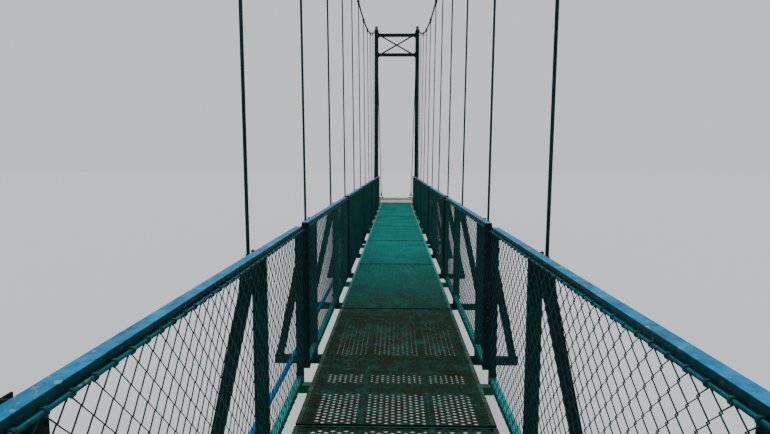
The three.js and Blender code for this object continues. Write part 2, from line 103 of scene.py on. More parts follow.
# Fence panels
RAIL_WIDTH = 0.05
RAIL_DROP = 0.04
LOWER_TOP = DECK_Z - 0.035
LOWER_LEG = 0.05
LOWER_FOOT = LOWER_TOP - LOWER_LEG
POST_INNER = 0.699
POST_OUTER = 0.75
NOTCH_ROOM = 0.006
ROD_X = 0.694
ROD_RADIUS = 0.006
ROD_Z = RAIL_TOP - 0.03
FABRIC_X = 0.7002
NET_FOOT = LOWER_FOOT + 0.012
NET_HEAD = ROD_Z - 0.004
DIAMOND = 0.086
WIRE = 0.0046
HOOK_STEPS = 7
HOOK_ROOT = 0.012

# Cross frames
CHANNEL_DEPTH = 0.038
GUSSET_FRONT = 0.006
POST_EDGES = (0.7113, 0.7873)
BRACE_FOOT_X = (1.0235, 1.0885)
POST_BOLT_Z = 1.14
STRINGER_BOLTS_X = (0.58, 0.225)
GUSSET_SEAM_X = 0.786
GUSSET_SEAM_Z = (2.082, 2.262)
GUSSET_BOLTS_X = 0.745
GUSSET_BOLTS_Z = (2.105, 2.235)
BRACE_HEAD_X = (0.788, 0.855)
BRACE_HEAD_Z = 2.0795

# Cables and hangers
CABLE_X = 0.85
CABLE_RADIUS = 0.019
LEAVE_Y = 11.18665
LEAVE_Z = 8.47343
CABLE_SAG = 2.14708
PORTAL_Y = 11.33
CABLE_TOP = 8.5
SADDLE_RADIUS = 0.4
MAIN_ANGLE = radians(21)
BACK_ANGLE = radians(45)
HANGER_FOOT_X = 0.808
HANGER_FOOT_Z = DECK_Z + 1.0
HANGER_BEHIND_WEB = 0.0173
HANGER_RADIUS = 0.01
CLAMP_HALF_LENGTH = 0.044

# Portals and anchorages
HALF_LEG = 0.08
LEG_FOOT = 1.1003
LEG_TOP = 8.2997
HALF_FOOT_PLATE = 0.14
HALF_CAP = (0.09, 0.21)
THICK_PLATE = 0.02
HALF_RIB = 0.006
FOOT_BOLT_REACH = 0.11
HEAD_LEVELS = (7.35, 8.15)
HEAD_PLATE = (0.014, 0.076, 0.095)
HEAD_BOLT_REACH = (0.05, 0.078)
SADDLE_CHEEK_X = 0.055
SADDLE_BOLT_REACH = 0.17
ANCHOR_Y = 19.0957
ANCHOR_Z = 0.9003
HALF_BRACKET = (0.15, 0.16)
BRACKET_BOLT_REACH = (0.115, 0.125)
ARM_LENGTH = 0.26
SOCKET_LENGTH = 0.24
CHEEK_RADIUS = 0.045
CHEEK_FROM_EYE = 0.038
PIN_HALF_LENGTH = 0.062
PIN_RADIUS = 0.02

# Edge tube
TUBE_X = -0.915
TUBE_RADIUS = 0.021
TUBE_WALL = 0.003
STRAP_HALF_WIDTH = 0.0125


def srgb(red, green, blue):
    """A colour given as on screen, 0 to 255, in the linear values that shaders take."""
    linear = []
    for value in (red, green, blue):
        share = value / 255
        linear.append(share / 12.92 if share <= 0.04045 else ((share + 0.055) / 1.055) ** 2.4)
    return (*linear, 1.0)


# Nodes

def sum_method(operation, swapped=False):
    """A method with which a Value adds a maths node to its tree."""
    def method(self, other):
        pair = (other, self) if swapped else (self, other)
        return self.tree.maths(operation, *pair)
    return method


class Value:
    """A node's output. Sums are written on it as on a number; [] gives the node's other outputs."""

    def __init__(self, tree, socket):
        self.tree = tree
        self.socket = socket

    def __getitem__(self, key):
        return Value(self.tree, self.socket.node.outputs[key])

    __add__ = sum_method("ADD")
    __sub__ = sum_method("SUBTRACT")
    __rsub__ = sum_method("SUBTRACT", swapped=True)
    __mul__ = sum_method("MULTIPLY")
    __truediv__ = sum_method("DIVIDE")
    __mod__ = sum_method("MODULO")


class Tree:
    """A node tree, with short ways of filling it."""

    def __init__(self, tree):
        self.tree = tree

    def fill(self, made, *inputs, **named):
        """Sets a node's sockets, each to a plain value or a Value, in their order or by name, with
        an underscore for a space. A name in lower case is a setting of the node itself."""
        sockets = dict(enumerate(inputs))
        for key, value in named.items():
            if key[0].islower():
                setattr(made, key, value)
            else:
                sockets[key.replace("_", " ")] = value
        for key, value in sockets.items():
            if isinstance(value, Value):
                self.tree.links.new(value.socket, made.inputs[key])
            elif value is not None:
                made.inputs[key].default_value = value
        return made

    def add(self, kind, *inputs, **named):
        """Adds a node and gives its first output."""
        return Value(self, self.fill(self.tree.nodes.new(kind), *inputs, **named).outputs[0])

    def shader(self, kind, *inputs, **named):
        return self.add("ShaderNode" + kind, *inputs, **named)

    def shape(self, kind, *inputs, **named):
        return self.add("GeometryNode" + kind, *inputs, **named)

    def close(self, *results):
        self.fill(self.tree.nodes.new("NodeGroupOutput"), *results)
        return self.tree

    def maths(self, operation, first, second=0.0):
        return self.shader("Math", first, second, operation=operation)

    def vector(self, operation, first, second=None, **named):
        return self.shader("VectorMath", first, second, operation=operation, **named)

    def noise(self, place, scale, detail=4.0, roughness=0.55):
        """Noise of one scale, or of three scales where the pattern is drawn out."""
        if isinstance(scale, tuple):
            place = self.vector("MULTIPLY", place, scale)
            scale = 1.0
        return self.shader("TexNoise", Vector=place, Scale=scale, Detail=detail, Roughness=roughness)

    def ramp(self, value, low, high):
        """A mask that rises from 0 at low to 1 at high."""
        return self.shader("MapRange", value, low, high)

    def patches(self, place, scale, low, high, detail=3.0, roughness=0.55):
        """Noise made a mask that rises from 0 at low to 1 at high."""
        return self.ramp(self.noise(place, scale, detail, roughness), low, high)

    def blend(self, mask, first, second):
        unused = [None] * 5
        return self.shader("Mix", mask, *unused, first, second, data_type="RGBA")[2]

    def layered(self, colour, *layers):
        """A colour with others laid over it, each given with its mask."""
        for mask, laid in layers:
            colour = self.blend(mask, colour, laid)
        return colour


def new_tree(kind, name, inputs, outputs):
    """A node group with named inputs and outputs of given kinds; gives the tree and its inputs."""
    group = bpy.data.node_groups.new(name, kind)
    for way, sockets in (("INPUT", inputs), ("OUTPUT", outputs)):
        for label, socket in sockets.items():
            group.interface.new_socket(name=label, in_out=way, socket_type="NodeSocket" + socket)
    tree = Tree(group)
    return tree, tree.add("NodeGroupInput")


# Finishes

def finish_tree(name, colours, numbers):
    inputs = dict.fromkeys(colours, "Color") | dict.fromkeys(numbers, "Float")
    outputs = {"Color": "Color", "Roughness": "Float", "Height": "Float"}
    return new_tree("ShaderNodeTree", name, inputs, outputs)


def surface(tree, low, high):
    """Where a point is, whether its face looks up, and how worn its edge is."""
    place = tree.shader("TexCoord")["Object"]
    facing = tree.shader("SeparateXYZ", tree.shader("NewGeometry")["Normal"])
    wear = tree.shader("Attribute", attribute_name="wear")["Fac"]
    return place, tree.ramp(facing[2], low, high), wear


def wandering(tree, place, scale, detail, reach, middle=0.0):
    """Places pushed about by noise, so that what is laid on them has uneven outlines."""
    push = tree.shader("TexNoise", Vector=place, Scale=scale, Detail=detail)[1]
    push = tree.vector("SUBTRACT", push, (middle, middle, middle))
    return tree.vector("ADD", place, tree.vector("SCALE", push, Scale=reach))


def lichen_spots(tree, place, size, threshold):
    """Round crusts of uneven size: a mask that is 1 inside them."""
    bent = wandering(tree, place, size * 1.6, 3.0, 0.9 / size, 0.5)
    cells = tree.shader("TexVoronoi", Vector=bent, Scale=size)
    tone = tree.shader("SeparateColor", cells["Color"])
    return tree.ramp(tree.ramp(tone, threshold, 1.0) * 0.42 - cells["Distance"], 0.0, 0.06)


def hairline_cracks(tree, place, size, width):
    """Fine broken cracks: a mask that is 1 inside them."""
    bent = wandering(tree, place, 7.0, 4.0, 0.35)
    cells = tree.shader("TexVoronoi", Vector=bent, Scale=size, feature="DISTANCE_TO_EDGE")
    return tree.ramp(cells["Distance"], width, 0.0) * tree.patches(place, 1.3, 0.50, 0.62)


def grid_distance(tree, across, level, step):
    """How far a point of a wall is from the nearest crossing of a square grid."""
    across, level = [(tree.maths("FRACT", value / step) - 0.5) * step for value in (across, level)]
    return tree.maths("SQRT", across * across + level * level)


def worn_paint_group():
    """Old paint outdoors: lighter on top, partly from sun bleaching and partly as painted light from
    above, mottled, streaked, darkened on the near panels by leaf mould and painted shade, with lichen
    crusts and rusty chips.
    """
    tree, given = finish_tree(
        "worn_paint", ("Paint", "Faded", "Shade", "Grime"),
        ("Fading", "Sun", "Mottle", "Streaks", "Mould", "Lichen", "Rust", "Gloss"))
    place, upward, wear = surface(tree, 0.2, 0.9)
    wear = wear * tree.patches(place, 4.3, 0.42, 0.66, 5.0, 0.7)
    broad = tree.patches(place, 1.7, 0.38, 0.62)
    cloud = tree.patches(place, 6.5, 0.36, 0.68, 5.0, 0.6)
    mottle = tree.patches(place, 23.0, 0.42, 0.66, 6.0, 0.66)

    # Faces that look up take the faded colour: partly sun bleaching, partly painted light from above
    # that makes the tops lighter and the sides darker.
    sun = upward * given["Sun"] * (cloud * 0.5 + 0.5)
    fading_and_toplight = tree.maths("MAXIMUM", broad * given["Fading"], sun)
    streak = tree.patches(place, (45, 45, 2.5), 0.50, 0.68, 5.0) * (1.0 - upward) * given["Streaks"]
    film = tree.patches(place, (14, 3, 14), 0.52, 0.72, 6.0, 0.7) * upward * given["Streaks"]

    # Leaf mould and painted shade: a dark green-brown laid thickest on the near panels, where it also
    # stands in for the shade over them
    along = tree.shader("SeparateXYZ", place)[1]
    near_painted_shade = tree.ramp(along, -1.5, -6.0) * 0.85 + 0.12
    mould_and_painted_shade = tree.patches(place, 8.0, 0.02, 0.52, 9.0, 0.8) * near_painted_shade * given["Mould"]
    mould_and_shade_tone = tree.blend(tree.noise(place, 34.0), srgb(12, 38, 28), srgb(60, 60, 42))

    crusts = lichen_spots(tree, place, 38.0, 0.55)
    dots = lichen_spots(tree, place, 120.0, 0.72)
    lichen = tree.maths("MAXIMUM", crusts, dots * 0.8) * tree.patches(place, 2.6, 0.46, 0.60)
    lichen = lichen * (upward * 0.75 + 0.25) * given["Lichen"]
    crust_tone = tree.blend(tree.patches(place, 9.0, 0.5, 0.6, 2.0),
                            srgb(146, 158, 138), srgb(158, 142, 92))

    chip_edge = tree.noise(place, 60.0, 8.0, 0.75) + wear * 0.16 + (broad - 0.5) * 0.04
    bloom = tree.ramp(chip_edge, 0.60, 0.69) * given["Rust"]
    chips = tree.ramp(chip_edge, 0.665, 0.685) * given["Rust"]
    rust = tree.blend(tree.noise(place, 180.0), srgb(58, 26, 14), srgb(140, 74, 38))

    colour = tree.layered(
        given["Paint"], (fading_and_toplight, given["Faded"]), (mottle * given["Mottle"], given["Shade"]),
        (streak, given["Grime"]), (film * 0.7, given["Grime"]), (mould_and_painted_shade, mould_and_shade_tone),
        (lichen, crust_tone), (bloom * 0.45, srgb(96, 62, 38)), (chips, rust))
    rough = (given["Gloss"] + mottle * 0.18 + fading_and_toplight * 0.12 + streak * 0.2 + lichen * 0.4
             + chips * 0.35 + mould_and_painted_shade * 0.3)
    height = tree.noise(place, 260.0, 3.0) * 0.18 + mottle * 0.10 + lichen * 0.8 - chips * 0.5
    return tree.close(colour, rough, height)


def concrete_group():
    """Board-marked concrete: sand, stones, pores, board joints, tie holes, cracks, rain streaks,
    moss on top, a damp foot and broken edges."""
    tree, given = finish_tree(
        "weathered_concrete", ("Light", "Dark", "Stain", "Moss"), ("Board Height",))
    place, upward, wear = surface(tree, 0.3, 0.8)
    sideways = 1.0 - upward
    spot = tree.shader("SeparateXYZ", place)
    level = spot[2]

    cloudy = tree.patches(place, 2.6, 0.36, 0.66, 8.0, 0.66)
    sand = tree.noise(place, 190.0, 4.0, 0.6)
    stones = tree.shader("TexVoronoi", Vector=place, Scale=70.0)
    stone_tone = tree.blend(tree.shader("SeparateColor", stones["Color"]),
                            srgb(96, 94, 90), srgb(190, 182, 166))
    bare = tree.maths("MAXIMUM", upward * 0.35, wear)
    bare = bare * tree.patches(place, 11.0, 0.44, 0.6, 5.0, 0.7)
    stone = tree.ramp(stones["Distance"], 0.42, 0.34) * bare

    # Marks of the boards and of the ties that held them
    board = level / given["Board Height"]
    joint = tree.maths("ABSOLUTE", tree.maths("FRACT", board) - 0.5)
    joint = tree.ramp(joint, 0.475, 0.5) * sideways
    number = tree.maths("FLOOR", board)
    tone = tree.shader("TexWhiteNoise", W=number, noise_dimensions="1D")
    grain = tree.noise(place, (3, 3, 90), 5.0)
    fibre = tree.ramp(grain, 0.52, 0.7) * sideways
    tie = grid_distance(tree, spot[0] + spot[1], level, 0.6)
    hole = tree.ramp(tie, 0.0135, 0.012) * sideways
    rim = tree.ramp(tie, 0.022, 0.014) * sideways

    run = tree.patches(place, (16, 16, 0.7), 0.50, 0.70, 8.0, 0.68) * sideways
    cracks = hairline_cracks(tree, place, 1.6, 0.006)
    puddle = tree.patches(place, 1.9, 0.52, 0.60, 7.0, 0.7) * upward
    moss_room = tree.maths("MAXIMUM", upward * 0.8, tree.ramp(level, 0.5, 0.0) * sideways)
    moss = tree.patches(place, 13.0, 0.56, 0.64, 9.0, 0.78) * moss_room
    lichen = lichen_spots(tree, place, 24.0, 0.5) * tree.patches(place, 1.7, 0.50, 0.60)
    damp = tree.ramp(level + cloudy * -0.35, 0.22, -0.25)
    pores = tree.patches(place, 60.0, 0.32, 0.24)

    colour = tree.layered(
        given["Light"], (cloudy, given["Dark"]), (tree.ramp(sand, 0.5, 0.75) * 0.4, srgb(84, 80, 72)),
        (stone * 0.7, stone_tone), (tone * 0.35 * sideways, given["Dark"]),
        (fibre * 0.3, srgb(104, 98, 86)), (joint * 0.5, srgb(70, 67, 60)),
        (rim * 0.3, given["Dark"]), (hole * 0.85, srgb(38, 36, 32)), (run * 0.75, given["Stain"]),
        (cracks * 0.8, srgb(44, 42, 36)), (puddle * 0.5, given["Stain"]),
        (moss * 0.8, given["Moss"]), (lichen * 0.55, srgb(196, 196, 178)),
        (damp * 0.65, srgb(62, 68, 46)))
    height = (sand * 0.30 + grain * sideways * 0.5 - joint * 1.2 - pores * 0.9 - hole * 3.0 - cracks
              + stone * 0.5 + moss * 0.8 + lichen * 0.3)
    return tree.close(colour, sand * 0.15 + 0.78, height)


WORN_PAINT = worn_paint_group()
CONCRETE = concrete_group()


def material_from(name, group, values, bump, bump_depth, **shader):
    """A material whose colour, roughness and relief come from a group used with its own values."""
    made = bpy.data.materials.new(name)
    made.use_nodes = True
    tree = Tree(made.node_tree)
    effect = tree.shader("Group", node_tree=group, **values)
    relief = tree.shader("Bump", Height=effect["Height"], Strength=bump, Distance=bump_depth)
    tree.fill(made.node_tree.nodes["Principled BSDF"], Base_Color=effect["Color"],
              Roughness=effect["Roughness"], Normal=relief, **shader)
    return made


def paint(name, bump_depth, *colours, bump=0.5, metallic=0.0, specular=0.1, **amounts):
    """Worn paint, from its colours when fresh, faded (which on the tops is also painted light from
    above), in the shade and grimy, and its wear.
    """
    values = dict(zip(("Paint", "Faded", "Shade", "Grime"), (srgb(*colour) for colour in colours)))
    return material_from(name, WORN_PAINT, values | amounts, bump, bump_depth, Metallic=metallic,
                         Specular_IOR_Level=specular)


def rail_paint():
    # The dark inner leg and the bright colour on the top face are painted shade on the sides and
    # painted light from above.
    return paint("rail_paint", 0.0012, (0, 50, 40), (0, 130, 180), (0, 36, 32), (4, 28, 28),
                 Fading=0.1, Sun=1.0, Mottle=0.4, Streaks=0.5, Lichen=0.9, Rust=0.8, Gloss=0.36)


def lower_rail_paint():
    """The lower rails hold dust and rain splash, and are duller and greener than the top ones."""
    # The bright faded colour on the upward flat leg is partly painted light from above.
    return paint("lower_rail_paint", 0.0012, (0, 116, 112), (14, 186, 178), (0, 76, 76),
                 (30, 44, 34), Fading=0.5, Sun=1.0, Mottle=0.6, Streaks=0.8, Mould=0.12,
                 Lichen=1.0, Rust=1.0, Gloss=0.5)


def rod_paint():
    """The rods under the top rails lie in their shade, and the wire hooks rub them."""
    return paint("rod_paint", 0.0008, (0, 66, 78), (0, 100, 112), (0, 44, 52), (6, 28, 26),
                 Fading=0.4, Sun=0.5, Mottle=0.5, Streaks=0.6, Lichen=0.7, Rust=1.0, Gloss=0.42)


def tube_paint():
    # A saturated sky blue: a painted sky reflection over paint that is the bridge's teal.
    return paint("tube_paint", 0.0012, (0, 78, 130), (0, 112, 180), (0, 56, 96), (6, 28, 34),
                 Fading=0.5, Sun=0.8, Mottle=0.5, Streaks=0.5, Lichen=0.7, Rust=1.0, Gloss=0.38)


def frame_paint():
    # Near-black teal, darker than the real paint: painted shade for the frames, posts, portals,
    # brackets and sheet end bars.
    return paint("frame_paint", 0.0014, (2, 33, 32), (6, 54, 52), (2, 22, 21), (6, 16, 14),
                 Fading=0.5, Sun=0.5, Mottle=0.6, Streaks=0.7, Lichen=0.7, Rust=0.75, Gloss=0.42)


def deck_paint():
    # Its mould amount darkens the near panels with leaf mould and painted shade.
    return paint("deck_paint", 0.001, (0, 138, 130), (0, 172, 162), (0, 84, 78), (34, 34, 22),
                 Fading=0.6, Sun=0.3, Mottle=0.55, Streaks=0.55, Mould=1.0, Lichen=0.3,
                 Rust=0.9, Gloss=0.44)


def deck_steel_paint():
    """The framing under the deck, where no sole wears the paint."""
    return paint("deck_steel_paint", 0.001, (0, 84, 72), (0, 108, 88), (4, 46, 40), (30, 32, 22),
                 Fading=0.6, Sun=0.6, Mottle=0.6, Streaks=0.6, Mould=0.3, Lichen=0.5,
                 Rust=1.0, Gloss=0.44)


def cable_paint():
    return paint("cable_paint", 0.001, (2, 44, 42), (10, 70, 68), (4, 30, 28), (10, 20, 18),
                 Fading=0.6, Sun=0.3, Mottle=0.6, Streaks=0.3, Lichen=0.4, Rust=0.6, Gloss=0.42)


def wire_coat():
    return paint("wire_coat", 0.0005, (0, 68, 63), (4, 94, 89), (0, 46, 43), (8, 30, 26),
                 Fading=0.6, Sun=0.5, Mottle=0.6, Streaks=0.4, Lichen=0.2, Rust=0.6, Gloss=0.36)


def cast_iron():
    return paint("cast_iron", 0.002, (72, 74, 72), (104, 104, 98), (48, 48, 46), (66, 42, 28),
                 bump=0.9, metallic=0.55, specular=0.5, Fading=0.7, Sun=0.2, Mottle=0.8,
                 Streaks=0.9, Lichen=0.5, Rust=1.0, Gloss=0.5)


def concrete():
    values = dict(Light=srgb(170, 164, 150), Dark=srgb(132, 126, 112), Stain=srgb(86, 82, 68),
                  Moss=srgb(58, 66, 34), Board_Height=0.15)
    return material_from("concrete", CONCRETE, values, bump=0.8, bump_depth=0.004, Metallic=0.0)


RAIL_PAINT = rail_paint()
LOWER_RAIL_PAINT = lower_rail_paint()
ROD_PAINT = rod_paint()
TUBE_PAINT_SKY_REFLECTION = tube_paint()
SHADE_DARKENED_FRAME_PAINT = frame_paint()
DECK_PAINT = deck_paint()
DECK_STEEL_PAINT = deck_steel_paint()
CABLE_PAINT = cable_paint()
WIRE_COAT = wire_coat()
CAST_IRON = cast_iron()
CONCRETE_FINISH = concrete()


# Rolled sections and solids

def rounded(corners, radius, fillets=None, steps=3, lip=0.003):
    """An outline with its corners rounded, as (a, b, wear) points. fillets gives some corners,
    by number, a radius of their own; only the other corners are worn."""
    fillets = fillets or {}
    points = []
    for number, corner in enumerate(corners):
        here = Vector(corner)
        ways = [Vector(corners[number - 1]) - here,
                Vector(corners[(number + 1) % len(corners)]) - here]
        half_bend = ways[0].angle(ways[1]) / 2
        size = fillets.get(number, radius)
        reach = size / tan(half_bend)
        before, after = [way.normalized() for way in ways]
        centre = here + (before + after).normalized() * (size / sin(half_bend))
        start = here + before * reach - centre
        end = here + after * reach - centre
        if ways[0].length > 2 * (reach + lip):
            points.append((*(here + before * (reach + lip)), 0.0))
        for step in range(steps + 1):
            spoke = start.lerp(end, step / steps).normalized() * size
            points.append((*(centre + spoke), 0.0 if number in fillets else 1.0))
        if ways[1].length > 2 * (reach + lip):
            points.append((*(here + after * (reach + lip)), 0.0))
    return points


def mirrored(corners, side):
    return [(side * a, b) for a, b in corners]


def rectangle(a, b, far_a, far_b):
    return [(a, b), (far_a, b), (far_a, far_b), (a, far_b)]


def arc(a, b, radius, start, stop, steps):
    """Points round a centre, from one angle to another."""
    angles = [start + (stop - start) * step / steps for step in range(steps + 1)]
    return [(a + radius * cos(angle), b + radius * sin(angle)) for angle in angles]


def around(middle, reach):
    return middle - reach, middle + reach


def along_y(a, b, distance):
    return Vector((a, distance, b))


def along_x(a, b, distance):
    return Vector((distance, a, b))


def along_z(a, b, distance):
    return Vector((a, b, distance))


class Solids:
    """Closed solids that together make one piece, with how worn their edges are."""

    def __init__(self):
        self.mesh = bmesh.new()
        self.wear = self.mesh.verts.layers.float.new("wear")

    def bridge(self, rings, wear):
        """Walls between rings of points, each ring and the next, and a cap at each end."""
        made = []
        for points in rings:
            made.append([self.mesh.verts.new(point) for point in points])
            for vertex, worn in zip(made[-1], wear):
                vertex[self.wear] = worn
        for first, second in zip(made, made[1:]):
            for i in range(len(first)):
                self.mesh.faces.new((first[i - 1], first[i], second[i], second[i - 1]))
        self.mesh.faces.new(made[0])
        self.mesh.faces.new(made[-1])

    def prism(self, outline, place, low, high, chamfer=0.0):
        """An outline drawn out between two distances, its ends chamfered if that is asked."""
        middle = sum((Vector(point[:2]) for point in outline), Vector((0, 0))) / len(outline)
        stations = [(low, 0.0), (high, 0.0)]
        if chamfer:
            stations = [(low, chamfer), (low + chamfer, 0.0), (high - chamfer, 0.0), (high, chamfer)]
        rings = []
        for distance, inset in stations:
            points = []
            for point in outline:
                spot = Vector(point[:2])
                points.append(place(*(spot + (middle - spot).normalized() * inset), distance))
            rings.append(points)
        self.bridge(rings, [point[2] for point in outline])

    def plate(self, corners, place, low, high, radius=0.003, chamfer=0.0015):
        """A flat or square bar with its edges broken."""
        self.prism(rounded(corners, radius), place, low, high, chamfer)

    def box(self, corner, opposite, radius=0.003, chamfer=0.0015):
        """A plate or block between two corners, drawn out along its longest way."""
        spans = [sorted(pair) for pair in zip(corner, opposite)]
        sizes = [high - low for low, high in spans]
        longest = sizes.index(max(sizes))
        low, high = spans.pop(longest)
        (a, far_a), (b, far_b) = spans
        place = (along_x, along_y, along_z)[longest]
        self.plate(rectangle(a, b, far_a, far_b), place, low, high, radius, chamfer)

    def turned(self, points, radii, sides=16):
        """A round piece along a path, with a radius at each point."""
        rings = []
        across = None
        for number, point in enumerate(points):
            ahead = points[min(number + 1, len(points) - 1)]
            way = (Vector(ahead) - Vector(points[max(number - 1, 0)])).normalized()
            if across is None:
                across = way.cross(Vector((1, 0, 0)) if abs(way.x) < 0.8 else Vector((0, 1, 0)))
            across = (across - way * across.dot(way)).normalized()
            other = way.cross(across)
            turns = arc(0, 0, radii[number], pi / sides, 2 * pi + pi / sides, sides)
            rings.append([Vector(point) + across * a + other * b for a, b in turns[:-1]])
        self.bridge(rings, [0.0] * sides)

    def rod(self, start, end, radius, sides=12, chamfer=0.0):
        """A straight round bar, its ends chamfered if that is asked."""
        start = Vector(start)
        end = Vector(end)
        if not chamfer:
            self.turned([start, end], [radius, radius], sides)
            return
        step = (end - start).normalized() * chamfer
        points = [start, start + step, end - step, end]
        self.turned(points, [radius - chamfer, radius, radius, radius - chamfer], sides)

    def finish(self, name, material, smooth_below=42.0):
        """The solids as one object with even normals."""
        bmesh.ops.recalc_face_normals(self.mesh, faces=self.mesh.faces)
        data = bpy.data.meshes.new(name)
        self.mesh.to_mesh(data)
        self.mesh.free()
        data.materials.append(material)
        return settle(link(bpy.data.objects.new(name, data)), smooth_below)


def link(piece):
    bpy.context.scene.collection.objects.link(piece)
    return piece


def flatten(piece):
    """Applies a piece's modifiers."""
    evaluated = piece.evaluated_get(bpy.context.evaluated_depsgraph_get())
    data = bpy.data.meshes.new_from_object(evaluated)
    piece.modifiers.clear()
    old = piece.data
    piece.data = data
    bpy.data.meshes.remove(old)
    data.name = piece.name
    return piece


def settle(piece, smooth_below):
    """Smooth shading round the small arcs, with the flat faces kept flat."""
    piece.data.shade_smooth()
    piece.data.set_sharp_from_angle(angle=radians(smooth_below))
    piece.modifiers.new("flats", "WEIGHTED_NORMAL").keep_sharp = True
    return flatten(piece)


def bevelled_copy(node, name, material, width, segments=2):
    """A copy of a fixed node with its edges broken, and worn along the middle of each."""
    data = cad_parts[node].data.copy()
    data.materials.clear()
    mesh = bmesh.new()
    mesh.from_mesh(data)
    bmesh.ops.remove_doubles(mesh, verts=mesh.verts, dist=0.00002)
    bmesh.ops.dissolve_limit(mesh, angle_limit=radians(1), verts=mesh.verts, edges=mesh.edges)
    for face in mesh.faces:
        face.material_index = 0
    mesh.to_mesh(data)
    mesh.free()
    piece = link(bpy.data.objects.new(name, data))
    edge = piece.modifiers.new("edges", "BEVEL")
    edge.width = width
    edge.segments = segments
    edge.limit_method = "ANGLE"
    edge.angle_limit = radians(30)
    edge.harden_normals = True
    edge.material = 1
    data.materials.append(material)
    data.materials.append(material)
    data.shade_smooth()
    data = flatten(piece).data
    worn = [1.0] * len(data.vertices)
    for face in data.polygons:
        if not face.material_index:
            for vertex in face.vertices:
                worn[vertex] = 0.0
        face.material_index = 0
    data.attributes.new("wear", "FLOAT", "POINT").data.foreach_set("value", worn)
    data.materials.pop()
    return piece


def join(name, pieces):
    """Makes one piece of several."""
    first = pieces[0]
    with bpy.context.temp_override(
        active_object=first, object=first, selected_objects=pieces,
        selected_editable_objects=pieces,
    ):
        bpy.ops.object.join()
    first.name = name
    first.data.name = name
    return first


def place_piece(piece, slot, *nodes):
    """Puts a finished piece in the place of the nodes that it stands for."""
    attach(piece, BODY)
    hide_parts(*nodes)


# Geometry trees for what repeats

def shape_tree(name, numbers, **others):
    """A tree that grows a shape on a start mesh, from inputs for its sizes and its material."""
    inputs = {"Start": "Geometry"} | dict.fromkeys(numbers, "Float") | others
    return new_tree("GeometryNodeTree", name, inputs | {"Finish": "Material"}, {"Mesh": "Geometry"})


def close_shape(tree, given, shape):
    """Ends a shape tree: instances made real, and the material."""
    real = tree.shape("RealizeInstances", shape)
    return tree.close(tree.shape("SetMaterial", real, Material=given["Finish"]))


def swept(tree, path, section, smooth=True, **more):
    """A section drawn along a path, closed at its ends."""
    bar = tree.shape("CurveToMesh", path, section, Fill_Caps=True, **more)
    return tree.shape("SetShadeSmooth", bar, Shade_Smooth=smooth)


def circle(tree, sides, radius):
    return tree.shape("CurvePrimitiveCircle", Resolution=sides, Radius=radius)


def start_path(tree, given, step=None):
    """The start mesh as a path, with points at even steps if that is asked."""
    path = tree.shape("MeshToCurve", given["Start"])
    if step:
        path = tree.shape("ResampleCurve", path, Length=given[step], mode="LENGTH")
    return path


def grow(name, start, tree, finish, **values):
    """Runs a tree on a start mesh and gives the result as a plain object."""
    holder = link(bpy.data.objects.new(name, start))
    modifier = holder.modifiers.new("grow", "NODES")
    modifier.node_group = tree
    values["finish"] = finish
    for item in tree.interface.items_tree:
        if item.in_out == "INPUT" and item.name.lower() in values:
            modifier[item.identifier] = values[item.name.lower()]
    return flatten(holder)


def zigzag_net_tree():
    """A net of zigzag strands that meet at their bends: expanded metal, or chain-link wire.
    The strands run along the net's length, and the net is then turned and moved to its place."""
    tree, given = shape_tree(
        "zigzag_net", ("Length", "Breadth", "Swing", "Lift", "Thickness", "Width", "Tilt"),
        Bends="Int", Strands="Int", Round="Bool", Turn="Rotation", Centre="Vector")
    grid = tree.shape("MeshGrid", given["Length"], given["Breadth"], given["Bends"], given["Strands"])
    ends = tree.shape("InputMeshEdgeVertices")
    run = tree.vector("SUBTRACT", ends["Position 1"], ends["Position 2"])
    lengthwise = tree.maths("ABSOLUTE", tree.shader("SeparateXYZ", run))
    is_cross = tree.maths("LESS_THAN", lengthwise, 1e-6)
    index = tree.shape("InputIndex")
    bend = tree.maths("FLOOR", index / given["Strands"])
    sign = (bend + index % given["Strands"]) % 2.0 * 2.0 - 1.0
    offset = tree.shader("CombineXYZ", 0.0, sign * given["Swing"], sign * given["Lift"])
    moved = tree.shape("SetPosition", grid, Offset=offset)
    kept = tree.shape("DeleteGeometry", moved, is_cross, domain="EDGE", mode="EDGE_FACE")
    strands = tree.shape("MeshToCurve", kept)
    strands = tree.shape("SetCurveNormal", strands, mode="Z_UP")
    flat = tree.shape("CurvePrimitiveQuadrilateral", given["Width"], given["Thickness"])
    wire = circle(tree, 4, given["Width"] * 0.5)
    profile = tree.shape("Switch", given["Round"], flat, wire, input_type="GEOMETRY")
    tilt = tree.shader("CombineXYZ", 0.0, 0.0, given["Tilt"])
    profile = tree.shape("Transform", profile, Rotation=tilt)
    net = swept(tree, strands, profile, given["Round"])
    net = tree.shape("Transform", net, given["Centre"], given["Turn"])
    return close_shape(tree, given, net)


def wire_rope_tree():
    """A wire rope of six strands laid round a path."""
    tree, given = shape_tree("wire_rope", ("Radius", "Valley", "Lay", "Ring"))
    path = tree.shape("SetCurveNormal", start_path(tree, given, "Ring"), mode="Z_UP")
    tilt = tree.shape("SplineParameter")["Length"] / given["Lay"] * (2 * pi)
    path = tree.shape("SetCurveTilt", path, Tilt=tilt)
    in_valley = tree.shape("InputIndex") % 2.0
    shrink = 1.0 - in_valley * (1.0 - given["Valley"])
    pulled = tree.vector("SCALE", tree.shape("InputPosition"), Scale=shrink)
    section = tree.shape("SetPosition", circle(tree, 12, given["Radius"]), Position=pulled)
    return close_shape(tree, given, swept(tree, path, section))


